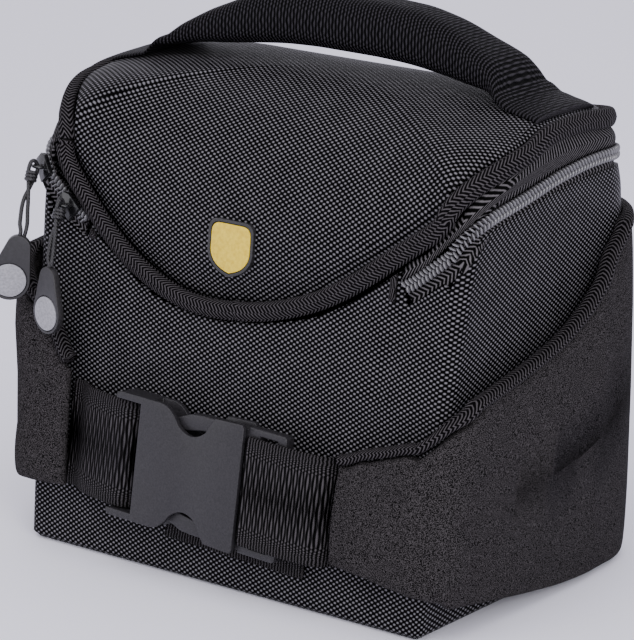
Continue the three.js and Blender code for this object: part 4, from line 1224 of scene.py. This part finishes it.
# The line of each cord, from inside the tab up through the slider's eye and back down into the tab.
cord_thickness = 1.8
cord_lines = {
    "upper": [
        (-104.2, -79.6, 136.6), (-103.6, -79.2, 139.0), (-104.9, -78.2, 141.8),
        (-106.1, -76.4, 144.4), (-107.3, -74.5, 146.8), (-108.3, -72.5, 149.3),
        (-109.1, -70.2, 151.6), (-109.6, -67.7, 153.6), (-110.1, -65.1, 155.7),
        (-110.5, -62.6, 157.8), (-110.8, -60.4, 160.2), (-110.7, -60.1, 163.4),
        (-111.3, -61.9, 165.7), (-112.0, -63.8, 163.2), (-111.9, -64.4, 160.0),
        (-110.8, -65.8, 157.2), (-109.5, -67.3, 154.6), (-108.2, -69.0, 152.0),
        (-106.9, -70.6, 149.4), (-105.7, -72.3, 146.8), (-104.3, -74.0, 144.3),
        (-103.0, -75.7, 141.8), (-102.1, -77.6, 139.3), (-102.7, -78.0, 136.9),
    ],
    "lower": [
        (-87.4, -79.5, 124.8), (-87.3, -79.4, 127.3), (-88.8, -78.5, 129.6),
        (-89.7, -77.0, 131.9), (-90.5, -75.3, 134.2), (-91.3, -73.6, 136.4),
        (-91.9, -71.6, 138.4), (-92.5, -69.4, 140.3), (-92.9, -67.2, 142.1),
        (-93.3, -65.0, 144.0), (-93.7, -63.1, 146.2), (-93.7, -62.8, 149.0),
        (-93.7, -64.0, 151.6), (-93.7, -66.2, 150.2), (-93.8, -66.9, 147.4),
        (-93.1, -68.0, 144.8), (-92.0, -69.5, 142.5), (-90.9, -71.0, 140.3),
        (-89.8, -72.6, 138.1), (-88.9, -74.2, 135.9), (-87.8, -75.9, 133.7),
        (-86.8, -77.5, 131.5), (-86.0, -79.1, 129.2), (-86.1, -79.2, 126.7),
    ],
}
knot_turns = 3
knot_strand = 0.85
knot_ring = 2.0
knot_pitch = 1.5


def doubled_cord(name, line):
    """One open spline through the points, with the cord's round section."""
    data = bpy.data.curves.new("pull_cord_braid_" + name, "CURVE")
    data.dimensions = "3D"
    data.bevel_depth = cord_thickness / 2 * MM
    data.bevel_resolution = 3
    data.resolution_u = 6
    data.use_fill_caps = True
    spline = data.splines.new("BEZIER")
    spline.bezier_points.add(len(line) - 1)
    for point, here in zip(spline.bezier_points, line):
        point.co = Vector(here) * MM
        point.handle_left_type = point.handle_right_type = "AUTO"
    data.materials.append(braid)
    made = bpy.data.objects.new("pull_cord_braid_" + name, data)
    bpy.context.scene.collection.objects.link(made)
    return made


def knot(name, line):
    """Turns of the cord wound round both strands below the eye."""
    bm = bmesh.new()
    high = line[len(line) * 2 // 5 + 3]
    other = min(line[: len(line) // 2 - 3], key=lambda here: abs(here[2] - high[2]))
    low = line[len(line) * 2 // 5 + 6]
    axis = (Vector(high) - Vector(low)).normalized()
    middle = (Vector(high) + Vector(other)) / 2
    across = axis.orthogonal().normalized()
    for turn in range(knot_turns):
        ring = bmesh.ops.create_circle(bm, cap_ends=False, segments=10, radius=knot_strand * MM)
        bmesh.ops.rotate(bm, verts=ring["verts"], matrix=Matrix.Rotation(math.pi / 2, 3, "X"))
        bmesh.ops.translate(bm, verts=ring["verts"], vec=(knot_ring * MM, 0, 0))
        edges = list({e for v in ring["verts"] for e in v.link_edges})
        bmesh.ops.spin(
            bm, geom=ring["verts"] + edges, cent=(0, 0, 0), axis=(0, 0, 1), angle=2 * math.pi,
            steps=20, use_merge=True,
        )
        level = middle - axis * (knot_pitch * turn)
        frame_of_turn = Matrix((across, axis.cross(across), axis)).transposed().to_4x4()
        frame_of_turn.translation = level * MM
        fresh = [v for v in bm.verts if not v.tag]
        bmesh.ops.transform(bm, matrix=frame_of_turn, verts=fresh)
        for vertex in fresh:
            vertex.tag = True
    bmesh.ops.remove_doubles(bm, verts=bm.verts[:], dist=2e-6)
    bmesh.ops.recalc_face_normals(bm, faces=bm.faces[:])
    return link_object("pull_knot_" + name, bm, braid)


for name in ("upper", "lower"):
    tab = eased_copy("pull_tab_rubber_" + name, "pull_tab_" + name, 0.7, soft_rubber)
    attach(tab, "root")
    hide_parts("pull_tab_" + name)
    disc = eased_copy("pull_disc_face_" + name, "pull_disc_" + name, 0.3, grey_disc)
    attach(disc, "root")
    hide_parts("pull_disc_" + name)
    line = cord_lines[name]
    cord = doubled_cord(name, line)
    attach(cord, "root")
    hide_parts("pull_cord_" + name)
    wound = knot(name, line)
    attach(wound, "root")

# Badge: a small moulded rubber shield fixed to the flap, with a raised black rim round a plain
# yellow face. Both are copies of the solids with their edges rounded.
yellow_rubber = moulded(
    "yellow_moulded_rubber", grit=700.0, dark="#c9a81c", pale="#dcbf34", roughness=0.45
)
badge_rim = eased_copy("badge_raised_rim", "badge_rim", 0.4, soft_rubber)
badge_face = eased_copy("badge_plain_face", "badge_face", 0.3, yellow_rubber)
for piece, node, slot in (
    (badge_rim, "badge_rim", "badge_rubber"), (badge_face, "badge_face", "badge_yellow"),
):
    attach(piece, "root")
    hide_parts(node)
